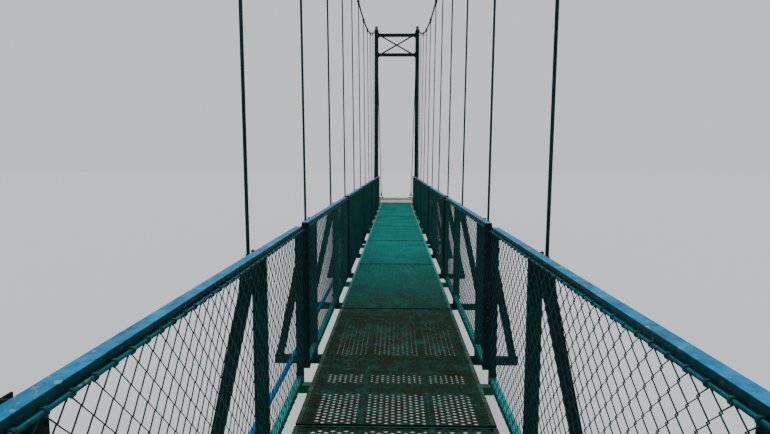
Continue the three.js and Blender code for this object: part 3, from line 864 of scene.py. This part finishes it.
def bolts_tree():
    """A hex head on a washer at each point of the start mesh, along its "way" attribute."""
    tree, given = shape_tree("bolts", ("Across", "Shank"))
    across = given["Across"]
    corner = across * 0.577
    thick = across * 0.62
    washer = (14, across * 0.92, across * 0.92, across * 0.14, 0.0)
    head = (6, corner, corner, thick, thick * 0.12)
    crown = (6, corner * 0.8, corner, across * 0.09, thick * 1.12)
    shank = (10, across * 0.33, across * 0.33, given["Shank"], 0.0)
    bolt = tree.shape("JoinGeometry")
    for sides, top, foot, height, level in (washer, head, crown, shank):
        part = tree.shape("MeshCone", Vertices=sides, Radius_Top=top, Radius_Bottom=foot, Depth=height)
        lift = tree.shader("CombineXYZ", 0.0, 0.0, level)
        tree.fill(bolt.socket.node, tree.shape("Transform", part, Translation=lift))
    way = tree.shape("InputNamedAttribute", "way", data_type="FLOAT_VECTOR")
    turn = tree.add("FunctionNodeAlignRotationToVector", Vector=way, axis="Z")
    points = tree.shape("MeshToPoints", given["Start"])
    placed = tree.shape("InstanceOnPoints", points, Instance=bolt, Rotation=turn)
    return close_shape(tree, given, placed)


def weld_bead_tree():
    """A lumpy bead along each edge of the start mesh."""
    tree, given = shape_tree("weld_bead", ("Radius", "Step", "Seed"))
    here = tree.shape("InputPosition")
    lump = tree.shader("TexNoise", Vector=here, W=given["Seed"], Scale=150.0, Detail=0.0,
                       noise_dimensions="4D")
    bead = swept(tree, start_path(tree, given, "Step"), circle(tree, 6, 1.0),
                 Scale=given["Radius"] * (lump + 0.5))
    return close_shape(tree, given, bead)


def bent_wire_tree():
    """A round wire along each chain of edges of the start mesh."""
    tree, given = shape_tree("bent_wire", ("Radius",), Sides="Int")
    section = circle(tree, given["Sides"], given["Radius"])
    return close_shape(tree, given, swept(tree, start_path(tree, given), section))


ZIGZAG_NET = zigzag_net_tree()
WIRE_ROPE = wire_rope_tree()
BOLTS = bolts_tree()
WELD_BEAD = weld_bead_tree()
BENT_WIRE = bent_wire_tree()


def edge_mesh(paths=()):
    """A mesh of bare edges, one chain for each path."""
    vertices = []
    edges = []
    for path in paths:
        first = len(vertices)
        vertices.extend(path)
        edges.extend((first + i, first + i + 1) for i in range(len(path) - 1))
    data = bpy.data.meshes.new("start")
    data.from_pydata(vertices, edges, [])
    return data


def crossings(way, xs, ys, zs):
    """Places for bolts that point one way, wherever the coordinates meet."""
    return [((x, y, z), way) for x in xs for y in ys for z in zs]


def bolts(places, across, finish, shank=None):
    """Bolts at places that each say where one stands and which way it points."""
    start = bpy.data.meshes.new("start")
    start.from_pydata([place for place, way in places], [], [])
    ways = start.attributes.new("way", "FLOAT_VECTOR", "POINT")
    for item, (place, way) in zip(ways.data, places):
        item.vector = way
    return settle(grow("bolts", start, BOLTS, finish, across=across, shank=shank or across * 0.9), 30.0)


def welds(paths, finish, radius=0.0035):
    return grow("welds", edge_mesh(paths), WELD_BEAD, finish, radius=radius, step=0.006, seed=3.0)


# Deck

def deck_span(number):
    """Where a deck panel starts and ends along the bridge."""
    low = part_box(f"deck_panel_{number}")[0].y
    return low, low + PANEL_LENGTH


def flange_edge(web):
    """Where the flange of the stringer whose web is here ends."""
    return web - copysign(STRINGER_FLANGE, web)


def channel_outline(web, inward, flange, low, high):
    """The outline of a channel bar that stands on its side, its web at web."""
    wall = web + inward * PLATE
    edge = web + inward * flange
    corners = [
        (web, low), (edge, low), (edge, low + PLATE), (wall, low + PLATE),
        (wall, high - PLATE), (edge, high - PLATE), (edge, high), (web, high),
    ]
    return rounded(corners, 0.0022, {3: 0.005, 4: 0.005})


def deck_frame(number, joints):
    """Stringers, end channels, the rests of the sheets and, where a panel follows, the bearer."""
    y_low, y_high = deck_span(number)
    steel = Solids()
    for web in STRINGER_WEBS:
        inward = -copysign(1, web)
        outline = channel_outline(web, inward, STRINGER_FLANGE, STRINGER_FOOT, STRINGER_TOP)
        steel.prism(outline, along_y, y_low + PLATE, y_high - PLATE)
    for web, inward in ((y_low, 1), (y_high, -1)):
        outline = channel_outline(web, inward, STRINGER_FLANGE, END_CHANNEL_FOOT, STRINGER_TOP + 0.0002)
        steel.prism(outline, along_x, -HALF_DECK + 0.001, HALF_DECK - 0.001)
    for joint in joints:
        if y_low < joint < y_high:
            sheet_rest(steel, joint)
    seams = []
    for y in (y_low + STRINGER_FLANGE, y_high - STRINGER_FLANGE):
        for web in STRINGER_WEBS:
            seams.append([(web, y, END_CHANNEL_FOOT), (flange_edge(web), y, END_CHANNEL_FOOT)])
    parts = [welds(seams, DECK_STEEL_PAINT)]
    if number < len(PANELS):
        bearer(steel, y_high)
        parts.append(bearer_bolts(y_high))
    name = f"deck_frame_{number}"
    return join(name, [steel.finish(name, DECK_STEEL_PAINT), *parts])


def bearer(steel, panel_end):
    web = panel_end + 0.005 - BEARER_DEPTH / 2
    outline = channel_outline(web, 1, BEARER_DEPTH, BEAM_TOP - BEARER_HEIGHT, BEAM_TOP)
    steel.prism(outline, along_x, -BEARER_HALF_LENGTH, BEARER_HALF_LENGTH)
    for x in STRINGER_WEBS:
        steel.box((x, web, BEAM_TOP - 0.003), (flange_edge(x), panel_end, BEAM_TOP + 0.003))


def bearer_bolts(panel_end):
    """Bolts up through the bearer into the lower flanges of the stringers, two at each."""
    middles = [(web + flange_edge(web)) / 2 for web in STRINGER_WEBS]
    rows = (panel_end - 0.013, panel_end + 0.029)
    places = crossings((0, 0, -1), middles, rows, [BEAM_TOP - PLATE])
    return bolts(places, DECK_BOLT, DECK_STEEL_PAINT)


def sheet_joints():
    """Where the sheets of grating meet, with the deck's own two ends."""
    joints = [deck_span(PANELS[0])[0], FIRST_JOINT]
    deck_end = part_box(f"deck_panel_{PANELS[-1]}")[1].y
    while joints[-1] + SHEET_LENGTH < deck_end:
        joints.append(joints[-1] + SHEET_LENGTH)
    return joints + [deck_end]


def sheet_rest(steel, joint):
    """Flat bars between the stringers, under the place where two sheets meet."""
    beside = HALF_DECK - STRINGER_FLANGE
    middle = STRINGER_INNER - STRINGER_FLANGE
    for low, high in ((STRINGER_INNER, beside), (-middle, middle), (-beside, -STRINGER_INNER)):
        steel.box((low - 0.0005, joint - 0.03, STRINGER_TOP - PLATE),
                  (high + 0.0005, joint + 0.03, STRINGER_TOP - 0.0002), 0.0015, 0.0005)


def grating_sheet(number, low, high):
    """Expanded metal: strands that run across the deck, tilted so that they grip the sole, between
    two edge bars, with a flat strip welded along each side."""
    length = 2 * (HALF_DECK - GRATING_MARGIN)
    breadth = high - low - 2 * (EDGE_BAR + GRATING_MARGIN) - SHORT_WAY / 2
    net = grow(
        "grating", edge_mesh(), ZIGZAG_NET, DECK_PAINT, length=length, breadth=breadth,
        bends=round(length / (LONG_WAY / 2)) + 1, strands=round(breadth / (SHORT_WAY / 2)) + 1,
        swing=SHORT_WAY / 4, width=STRAND_WIDTH, thickness=STRAND_THICKNESS, tilt=STRAND_TILT,
        centre=(0.0, (low + high) / 2, DECK_Z - GRATING_DEPTH / 2))
    bars = Solids()
    for y in (low, high - EDGE_BAR):
        bars.box((-HALF_DECK + 0.001, y, DECK_Z - GRATING_DEPTH),
                 (HALF_DECK - 0.001, y + EDGE_BAR, DECK_Z + 0.0012), 0.001, 0.0005)
    strips = Solids()
    for side in BOTH:
        strips.box((side * HALF_DECK, low, DECK_Z - 0.0032),
                   (side * (HALF_DECK - EDGE_STRIP), high, DECK_Z), 0.001, 0.0005)
    # The sheet end bars take the near-black frame paint: painted shade for the dark line at each sheet
    # joint.
    return join(f"deck_sheet_{number}", [
        net, bars.finish("sheet_ends", SHADE_DARKENED_FRAME_PAINT), strips.finish("sheet_strips", DECK_PAINT)])


def build_deck():
    joints = sheet_joints()
    for number in PANELS:
        place_piece(deck_frame(number, joints[1:-1]), "deck_paint", f"deck_panel_{number}")
    for number, (low, high) in enumerate(zip(joints, joints[1:]), 1):
        sheet = grating_sheet(number, low + SHEET_GAP / 2, high - SHEET_GAP / 2)
        under = [f"deck_panel_{panel}" for panel in PANELS
                 if deck_span(panel)[0] < high and low < deck_span(panel)[1]]
        place_piece(sheet, "deck_paint", *under)


# Fences

def frame_web(number):
    """Where the webs of a cross frame's channels stand along the bridge."""
    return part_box(f"cross_frame_{number:02d}")[0].y + GUSSET_FRONT


def lower_rail(name, side, y_low, y_high):
    """An upright leg all along, and a flat leg that stops where the frame posts stand."""
    steel = Solids()
    upright = rectangle(side * FENCE_X, LOWER_FOOT, side * (FENCE_X + PLATE), LOWER_TOP)
    steel.plate(upright, along_y, y_low + PLATE, y_high - PLATE, 0.002, 0.0)
    flat = rectangle(side * (FENCE_X + 0.003), LOWER_TOP - PLATE,
                     side * (FENCE_X + LOWER_LEG), LOWER_TOP)
    stops = [y_low + PLATE]
    for web in map(frame_web, FRAMES):
        if y_low < web < y_high:
            stops += [web - NOTCH_ROOM, web + CHANNEL_DEPTH + NOTCH_ROOM]
    stops.append(y_high - PLATE)
    for low, high in zip(stops[::2], stops[1::2]):
        steel.plate(flat, along_y, low, high, 0.002, 0.0)
    return steel.finish(name, LOWER_RAIL_PAINT)


def fence_rails(name, side, y_low, y_high):
    """The top angle rail and the rod under it that the wire net hangs on."""
    wall = FENCE_X + PLATE
    edge = FENCE_X + RAIL_WIDTH
    corners = mirrored([
        (FENCE_X, RAIL_TOP - RAIL_DROP), (wall, RAIL_TOP - RAIL_DROP), (wall, RAIL_TOP - PLATE),
        (edge, RAIL_TOP - PLATE), (edge, RAIL_TOP), (FENCE_X, RAIL_TOP)], side)
    rail = Solids()
    rail.prism(rounded(corners, 0.0025, {2: 0.006}), along_y, y_low, y_high)
    rod = Solids()
    rod.rod((side * ROD_X, y_low + PLATE, ROD_Z), (side * ROD_X, y_high - PLATE, ROD_Z), ROD_RADIUS)
    return join(name, [rail.finish(name, RAIL_PAINT), rod.finish("rod", ROD_PAINT)])


def fence_posts(name, side, y_low, y_high):
    """The angle posts that close the panel's ends, welded to the rails."""
    steel = Solids()
    seams = []
    inner = side * FENCE_X
    middle = side * (FENCE_X + PLATE)
    outer = side * (POST_OUTER - PLATE)
    for web, inward in ((y_low, 1), (y_high, -1)):
        wall = web + inward * PLATE
        edge = web + inward * LOWER_LEG
        corners = mirrored([
            (POST_INNER, web), (POST_OUTER, web), (POST_OUTER, edge), (POST_OUTER - PLATE, edge),
            (POST_OUTER - PLATE, wall), (POST_INNER, wall)], side)
        steel.prism(rounded(corners, 0.0022, {4: 0.005}), along_z, LOWER_FOOT, RAIL_TOP - 0.0015)
        for x, z, end_x, end_z in (
            (middle, RAIL_TOP - PLATE, outer, RAIL_TOP - PLATE),
            (middle, RAIL_TOP - RAIL_DROP, middle, RAIL_TOP - PLATE),
            (inner, LOWER_FOOT + 0.004, inner, LOWER_TOP), (middle, LOWER_TOP, outer, LOWER_TOP),
        ):
            seams.append([(x, wall, z), (end_x, wall, end_z)])
    # The posts take the near-black frame paint: painted shade.
    return join(name, [steel.finish(name, SHADE_DARKENED_FRAME_PAINT), welds(seams, SHADE_DARKENED_FRAME_PAINT)])


def fence_net(name, side, y_low, y_high):
    """Chain link: upright zigzag wires hooked into each other, one in front, the next behind, with
    their ends bent over the rod under the top rail."""
    middle = (y_low + y_high) / 2
    length = NET_HEAD - NET_FOOT
    breadth = y_high - y_low - 2 * (PLATE + DIAMOND / 4 + WIRE)
    strands = round(breadth / (DIAMOND / 2)) + 1
    gap = breadth / (strands - 1)
    net = grow(
        name, edge_mesh(), ZIGZAG_NET, WIRE_COAT, length=length, breadth=breadth,
        bends=2 * round(length / DIAMOND) + 1, strands=strands, swing=(gap + WIRE) / 2,
        lift=WIRE / 2, width=WIRE, round=True, turn=(0.0, -pi / 2, 0.0),
        centre=(side * FABRIC_X, middle, (NET_FOOT + NET_HEAD) / 2))
    reach = ROD_RADIUS + WIRE / 2 + 0.0004
    paths = []
    for strand in range(strands):
        lean = 1 if strand % 2 else -1
        y = middle - breadth / 2 + gap * strand + lean * (gap / 2 + 0.55 * WIRE)
        path = [(side * FABRIC_X, y - lean * HOOK_ROOT, NET_HEAD - HOOK_ROOT)]
        for x, z in arc(ROD_X, ROD_Z, reach, radians(-15), radians(260), HOOK_STEPS):
            path.append((side * x, y, z))
        paths.append(path)
    hooks = grow("hooks", edge_mesh(paths), BENT_WIRE, WIRE_COAT, radius=WIRE / 2, sides=5)
    return join(name, [net, hooks])


def build_fences():
    slots = {fence_rails: "rail_paint", lower_rail: "rail_paint", fence_posts: "frame_paint",
             fence_net: "mesh_wire"}
    for side_name, side in SIDES.items():
        for number in PANELS:
            tag = f"{side_name}_{number}"
            node = f"side_panel_{tag}"
            low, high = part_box(node)
            for maker, slot in slots.items():
                piece = maker(f"{maker.__name__}_{tag}", side, low.y, high.y)
                place_piece(piece, slot, node)


# Cross frames

def cross_frame(number):
    """Floor beam, posts and braces, with the bolts and welds that hold them."""
    node = f"cross_frame_{number:02d}"
    web = frame_web(number)
    front = web - GUSSET_FRONT
    back = web + CHANNEL_DEPTH
    inside, outside = POST_EDGES
    places = []
    seams = []
    for side in BOTH:
        places += [((side * HANGER_FOOT_X, front, HANGER_FOOT_Z), (0, -1, 0)),
                   ((side * outside, web + CHANNEL_DEPTH / 2, POST_BOLT_Z), (side, 0, 0))]
        places += crossings((0, -1, 0), [side * GUSSET_BOLTS_X], [front], GUSSET_BOLTS_Z)
        places += crossings((0, 0, -1), [side * x for x in STRINGER_BOLTS_X], [web + 0.02],
                            [BEAM_TOP - 0.005])
        for start, end in (
            ((inside, web, BEAM_TOP), (outside, web, BEAM_TOP)),
            ((outside, web, BEAM_TOP), (outside, back, BEAM_TOP)),
            ((GUSSET_SEAM_X, web, GUSSET_SEAM_Z[0]), (GUSSET_SEAM_X, web, GUSSET_SEAM_Z[1])),
            ((BRACE_FOOT_X[0], web, BEAM_TOP), (BRACE_FOOT_X[1], web, BEAM_TOP)),
            ((BRACE_HEAD_X[0], web - 0.0045, BRACE_HEAD_Z),
             (BRACE_HEAD_X[1], web - 0.001, BRACE_HEAD_Z)),
        ):
            seams.append([(side * x, y, z) for x, y, z in (start, end)])
    return join(f"frame_{number:02d}", [
        bevelled_copy(node, node + "_steel", SHADE_DARKENED_FRAME_PAINT, 0.0016),
        bolts(places, FRAME_BOLT, SHADE_DARKENED_FRAME_PAINT), welds(seams, SHADE_DARKENED_FRAME_PAINT, radius=0.004)])


def build_cross_frames():
    for number in FRAMES:
        place_piece(cross_frame(number), "frame_paint", f"cross_frame_{number:02d}")


# Cables, hangers and their fittings

def cable_height(y):
    return LEAVE_Z - CABLE_SAG * (1 - (y / LEAVE_Y) ** 2)


def cable_slope(y):
    return 2 * CABLE_SAG * y / LEAVE_Y ** 2


def saddle_arc(side, end, direction, angle, steps=6):
    """Points of the cable over a saddle, from its crown down by an angle towards one end."""
    crown = pi / 2
    turns = arc(0, CABLE_TOP - SADDLE_RADIUS, SADDLE_RADIUS, crown, crown - angle, steps)
    return [Vector((side * CABLE_X, end * PORTAL_Y + direction * y, z)) for y, z in turns]


def wire_rope(name, path):
    return grow(name, edge_mesh([path]), WIRE_ROPE, CABLE_PAINT,
                radius=CABLE_RADIUS, valley=0.83, lay=0.3, ring=0.0125)


def main_rope(name, side):
    path = saddle_arc(side, -1, 1, MAIN_ANGLE)
    steps = 120
    for step in range(1, steps):
        y = -LEAVE_Y + 2 * LEAVE_Y * step / steps
        path.append(Vector((side * CABLE_X, y, cable_height(y))))
    return wire_rope(name, path + saddle_arc(side, 1, -1, MAIN_ANGLE)[::-1])


def hanger(steel, side, y):
    """A round rod from the pinned eye at the post head up to the clamp on the cable."""
    foot = Vector((side * HANGER_FOOT_X, y, HANGER_FOOT_Z))
    head = Vector((side * CABLE_X, y, cable_height(y)))
    way = (head - foot).normalized()
    steel.rod(foot, head, HANGER_RADIUS)
    eye = arc(foot.x, foot.z - 0.017, 0.018, pi, 2 * pi, 8)
    eye += [(foot.x + 0.018, foot.z + 0.012), (foot.x + 0.013, foot.z + 0.035),
            (foot.x - 0.013, foot.z + 0.035), (foot.x - 0.018, foot.z + 0.012)]
    steel.prism([(*point, 0.3) for point in eye], along_y, y - 0.015, y + 0.015, 0.003)
    for start, length, radius, chamfer in (
        (foot + way * 0.038, 0.016, 0.0165, 0.0015), (foot + way * 0.063, 0.016, 0.0145, 0.0015),
        (head - way * 0.075, 0.02, 0.0185, 0.002),
    ):
        steel.rod(start, start + way * length, radius, 6, chamfer)


def cable_clamp(steel, side, y):
    """Two halves bolted together round the cable, with a lug below for the hanger."""
    x = side * CABLE_X
    z = cable_height(y)

    def on_cable(a, b, distance):
        return Vector((a, y + distance, b + cable_slope(y) * distance))

    upper = [(0.027, 0.015), (0.014, 0.024), (0.012, 0.041), (0.0015, 0.041)]
    lower = [(reach, -rise) for reach, rise in reversed(upper)]
    for cheek in BOTH:
        corners = [(x + cheek * reach, z + rise) for reach, rise in lower + upper]
        steel.prism(rounded(corners, 0.002, steps=2), on_cable,
                    -CLAMP_HALF_LENGTH, CLAMP_HALF_LENGTH, 0.002)
    steel.box((x - 0.011, y - 0.02, z - 0.075), (x + 0.011, y + 0.02, z - 0.03))


def clamp_bolt_places(side, y):
    places = []
    for step in (-0.028, 0.028):
        levels = around(cable_height(y) + cable_slope(y) * step, 0.032)
        places += crossings((side, 0, 0), [side * (CABLE_X + 0.012)], [y + step], levels)
    return places


def build_cables():
    hanger_places = [frame_web(number) + HANGER_BEHIND_WEB for number in FRAMES]
    for side_name, side in SIDES.items():
        node = f"main_cable_{side_name}"
        place_piece(main_rope(f"cable_rope_{side_name}", side), "cable_paint", node)
        rods = Solids()
        clamps = Solids()
        places = []
        for y in hanger_places:
            hanger(rods, side, y)
            cable_clamp(clamps, side, y)
            places += clamp_bolt_places(side, y)
        place_piece(rods.finish(f"hangers_{side_name}", CABLE_PAINT), "cable_paint", node)
        body = clamps.finish("clamp_halves", CABLE_PAINT)
        nuts = bolts(places, SMALL_BOLT, CABLE_PAINT, shank=0.014)
        place_piece(join(f"cable_clamps_{side_name}", [body, nuts]), "cable_paint", node)


def backstay_line(side, end):
    """The backstay's way down, and the points where its socket and its bracket arm start."""
    down = Vector((0, end * cos(BACK_ANGLE), -sin(BACK_ANGLE)))
    arm_top = Vector((side * CABLE_X, end * ANCHOR_Y, ANCHOR_Z)) - down * ARM_LENGTH
    return down, arm_top, arm_top - down * SOCKET_LENGTH


def backstay_rope(name, side, end):
    down, arm_top, socket_top = backstay_line(side, end)
    path = saddle_arc(side, end, end, BACK_ANGLE, 10)
    return wire_rope(name, path + [socket_top + down * 0.03])


def bracket_cheek(steel, x, eye, down, across):
    """A plate beside the eye, rounded above the pin and standing on the base plate."""
    outline = []
    for right, back in arc(0, 0, CHEEK_RADIUS, -pi, 0, 8):
        spot = eye + across * right + down * back
        outline.append((spot.y, spot.z, 0.5))
    for sign in (1, -1):
        spot = eye + across * (CHEEK_RADIUS * sign)
        foot = spot + down * ((spot.z - ANCHOR_Z - 0.004) / -down.z)
        outline.append((foot.y, foot.z, 0.0))
    steel.prism(outline, along_x, x - 0.007, x + 0.007, 0.0015)


def anchor_bracket(name, side, end):
    """Poured socket, pin, two cheek plates and a base plate held down by four bolts."""
    down, arm_top, socket_top = backstay_line(side, end)
    x = side * CABLE_X
    y = end * ANCHOR_Y
    steel = Solids()
    profile = ((0.0, 0.024), (0.01, 0.027), (0.03, 0.027), (0.17, 0.041), (0.19, 0.0418),
               (0.235, 0.0418), (SOCKET_LENGTH, 0.038))
    steel.turned([socket_top + down * along for along, radius in profile],
                 [radius for along, radius in profile], 20)
    eye = arm_top + down * 0.035
    steel.rod(arm_top - down * 0.004, eye + down * 0.03, 0.036, 20)
    across = Vector((0, down.z, -down.y)) * end
    for cheek in BOTH:
        bracket_cheek(steel, x + cheek * CHEEK_FROM_EYE, eye, down, across)
    pin_ends = [(end_x, eye.y, eye.z) for end_x in around(x, PIN_HALF_LENGTH)]
    steel.rod(*pin_ends, PIN_RADIUS, 20, 0.003)
    half_x, half_y = HALF_BRACKET
    bolt_x, bolt_y = BRACKET_BOLT_REACH
    top = ANCHOR_Z + THICK_PLATE
    steel.box((x - half_x, y - half_y, ANCHOR_Z), (x + half_x, y + half_y, top), 0.006, 0.002)
    places = crossings((0, 0, 1), around(x, bolt_x), around(y, bolt_y), [top])
    return join(name, [steel.finish("bracket_steel", SHADE_DARKENED_FRAME_PAINT),
                       bolts(places, ANCHOR_BOLT, SHADE_DARKENED_FRAME_PAINT, shank=0.045)])


# Portals

def portal_leg(name, side, end):
    """A square steel leg on a stiffened foot plate, with a cap plate for the saddle."""
    x = side * CABLE_X
    y = end * PORTAL_Y
    foot_z = LEG_FOOT + THICK_PLATE
    cap_z = LEG_TOP - THICK_PLATE
    cap_x, cap_y = HALF_CAP
    plate = HALF_FOOT_PLATE
    square = rectangle(x - HALF_LEG, y - HALF_LEG, x + HALF_LEG, y + HALF_LEG)
    steel = Solids()
    steel.prism(rounded(square, 0.014, steps=4, lip=0.01), along_z, LEG_FOOT + 0.005, LEG_TOP - 0.005)
    steel.box((x - plate, y - plate, LEG_FOOT), (x + plate, y + plate, foot_z), 0.006)
    steel.box((x - cap_x, y - cap_y, cap_z), (x + cap_x, y + cap_y, LEG_TOP), 0.005)

    def rib(middle, sign, reach, level, edge, height, place, across):
        """A triangular stiffener between the leg and a plate, its far corner cut off."""
        root = middle + sign * (HALF_LEG - 0.001)
        tip = middle + sign * reach
        steel.plate([(root, level), (tip, level), (tip, level + edge), (root, level + height)],
                    place, *around(across, HALF_RIB), 0.002)

    for sign in BOTH:
        for middle, place, across in ((x, along_y, y), (y, along_x, x)):
            rib(middle, sign, plate - 0.006, foot_z - 0.001, 0.02, 0.13, place, across)
        for offset in (-0.045, 0.045):
            rib(y, sign, cap_y - 0.012, cap_z + 0.001, -0.02, -0.15, along_x, x + offset)
    places = crossings((0, 0, 1), around(x, FOOT_BOLT_REACH), around(y, FOOT_BOLT_REACH), [foot_z])
    seams = [[(a, b, z) for a, b in square + square[:1]] for z in (foot_z, cap_z)]
    return join(name, [
        steel.finish("leg_steel", SHADE_DARKENED_FRAME_PAINT),
        bolts(places, ANCHOR_BOLT, SHADE_DARKENED_FRAME_PAINT, shank=0.05),
        welds(seams, SHADE_DARKENED_FRAME_PAINT, radius=0.005)])


def portal_head(end_name):
    """Two square beams with end plates bolted to the legs, and a crossed pair of channels."""
    node = f"portal_head_{end_name}"
    y = ENDS[end_name] * PORTAL_Y
    reach = CABLE_X - HALF_LEG - 0.0003
    thick, half_y, half_z = HEAD_PLATE
    bolt_y, bolt_z = HEAD_BOLT_REACH
    plates = Solids()
    places = []
    for z in HEAD_LEVELS:
        for side in BOTH:
            inner = side * (reach - thick)
            plates.box((side * reach, y - half_y, z - half_z), (inner, y + half_y, z + half_z), 0.006)
            places += crossings((-side, 0, 0), [inner], around(y, bolt_y), around(z, bolt_z))
    return join(f"{node}_steel", [
        bevelled_copy(node, node + "_bars", SHADE_DARKENED_FRAME_PAINT, 0.0025),
        plates.finish("head_plates", SHADE_DARKENED_FRAME_PAINT), bolts(places, FRAME_BOLT, SHADE_DARKENED_FRAME_PAINT)])


def saddle(node, side, end):
    """The grooved casting, with bolts through its cheeks."""
    places = []
    for cheek in BOTH:
        places += crossings((cheek, 0, 0), [side * CABLE_X + cheek * SADDLE_CHEEK_X],
                            around(end * PORTAL_Y, SADDLE_BOLT_REACH), [LEG_TOP + 0.035])
    casting = bevelled_copy(node, node + "_casting", CAST_IRON, 0.004, 3)
    return join(f"{node}_cast", [casting, bolts(places, SADDLE_BOLT, CAST_IRON)])


def build_backstays():
    for end_name, end in ENDS.items():
        for side_name, side in SIDES.items():
            tag = f"{end_name}_{side_name}"
            for maker in (backstay_rope, anchor_bracket):
                piece = maker(f"{maker.__name__}_{tag}", side, end)
                place_piece(piece, "cable_paint", f"backstay_{tag}")


def build_portals():
    for end_name, end in ENDS.items():
        for side_name, side in SIDES.items():
            leg, cast = [f"{part}_{end_name}_{side_name}" for part in ("portal_leg", "saddle")]
            place_piece(portal_leg(f"{leg}_steel", side, end), "frame_paint", leg)
            place_piece(saddle(cast, side, end), "casting", cast)
        place_piece(portal_head(end_name), "frame_paint", f"portal_head_{end_name}")


def build_concrete():
    for end_name in ENDS:
        for node in (f"abutment_{end_name}", f"anchor_block_{end_name}"):
            block = bevelled_copy(node, f"{node}_concrete", CONCRETE_FINISH, 0.014)
            place_piece(block, "concrete", node)


# Edge tube

def tube_strap(straps, y, z):
    """A band over the tube, with a foot on each side; gives the places of its two bolts."""
    over = TUBE_RADIUS + 0.004
    under = TUBE_RADIUS + 0.001
    foot = BEAM_TOP + 0.001
    outline = [(*point, 0.5) for point in arc(TUBE_X, z, over, 0, pi, 12)]
    outline += [(TUBE_X - over, foot, 0.0), (TUBE_X - under, foot, 0.0)]
    outline += [(*point, 0.0) for point in arc(TUBE_X, z, under, pi, 0, 12)]
    outline += [(TUBE_X + under, foot, 0.0), (TUBE_X + over, foot, 0.0)]
    straps.prism(outline, along_y, *around(y, STRAP_HALF_WIDTH))
    places = []
    for sign in BOTH:
        x = TUBE_X + sign * (TUBE_RADIUS + 0.018)
        straps.box((x - 0.017, y - STRAP_HALF_WIDTH, BEAM_TOP + 0.0004),
                   (x + 0.017, y + STRAP_HALF_WIDTH, BEAM_TOP + 0.0034), 0.0012, 0.0005)
        places.append(((x, y, BEAM_TOP + 0.0034), (0, 0, 1)))
    return places


def build_edge_tube():
    """The tube along the left ends of the cross frames, held down by a strap at each."""
    low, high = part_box("edge_tube_left")
    z = (low.z + high.z) / 2
    steel = Solids()
    bore = TUBE_RADIUS - TUBE_WALL
    path = [low.y + 0.03, low.y, low.y, high.y, high.y, high.y - 0.03]
    radii = [bore, bore, TUBE_RADIUS, TUBE_RADIUS, bore, bore]
    steel.turned([(TUBE_X, y, z) for y in path], radii, 24)
    straps = Solids()
    places = []
    for number in FRAMES:
        places += tube_strap(straps, frame_web(number) + CHANNEL_DEPTH / 2, z)
    tube = join("edge_tube_strapped", [
        steel.finish("edge_tube_bar", TUBE_PAINT_SKY_REFLECTION), straps.finish("straps", TUBE_PAINT_SKY_REFLECTION),
        bolts(places, SMALL_BOLT, TUBE_PAINT_SKY_REFLECTION)])
    place_piece(tube, "rail_paint", "edge_tube_left")


# Studio

def build_floor():
    size = 160.0
    data = bpy.data.meshes.new("floor")
    corners = [(x, y, 0) for x, y in rectangle(-size, -size, size, size)]
    data.from_pydata(corners, [], [(0, 1, 2, 3)])
    floor = link(bpy.data.objects.new("floor", data))
    pale = bpy.data.materials.new("pale_floor")
    pale.use_nodes = True
    Tree(pale.node_tree).fill(pale.node_tree.nodes["Principled BSDF"], Roughness=1.0,
                              Base_Color=(0.5, 0.5, 0.49, 1), Specular_IOR_Level=0.0)
    data.materials.append(pale)


def build_light():
    """A pale studio: soft light from above, dimmer from the sides, before an even backdrop."""
    world = bpy.data.worlds.new("studio")
    world.use_nodes = True
    tree = Tree(world.node_tree)
    direction = tree.shader("TexCoord")["Generated"]
    height = tree.shader("SeparateXYZ", direction)[2]
    strength = tree.shader("MapRange", height, -0.1, 0.9, 0.28, 1.1)
    sky = tree.shader("Background", (0.86, 0.93, 1.0, 1), strength)
    backdrop = tree.shader("Background", BACKDROP, 1.0)
    seen = tree.shader("LightPath")["Is Camera Ray"]
    mixed = tree.shader("MixShader", seen, sky, backdrop)
    tree.fill(world.node_tree.nodes["World Output"], mixed)
    bpy.context.scene.world = world
    sun = bpy.data.lights.new("high_soft_light", "SUN")
    sun.energy = 2.6
    sun.angle = radians(30)
    lamp = link(bpy.data.objects.new("high_soft_light", sun))
    lamp.rotation_euler = (radians(-20), radians(-5), 0)


def build_camera():
    data = bpy.data.cameras.new("viewpoint")
    data.lens = LENS_MM
    data.clip_end = 300
    camera = link(bpy.data.objects.new("viewpoint", data))
    camera.matrix_world = (
        Matrix.Translation(EYE)
        @ Matrix.Rotation(YAW_LEFT, 4, "Z")
        @ Matrix.Rotation(pi / 2 - PITCH_DOWN, 4, "X")
        @ Matrix.Rotation(ROLL, 4, "Z")
    )
    bpy.context.scene.camera = camera


build_camera()
build_light()
build_floor()
build_deck()
build_fences()
build_cross_frames()
build_cables()
build_backstays()
build_portals()
build_concrete()
build_edge_tube()

bpy.context.view_layer.update()
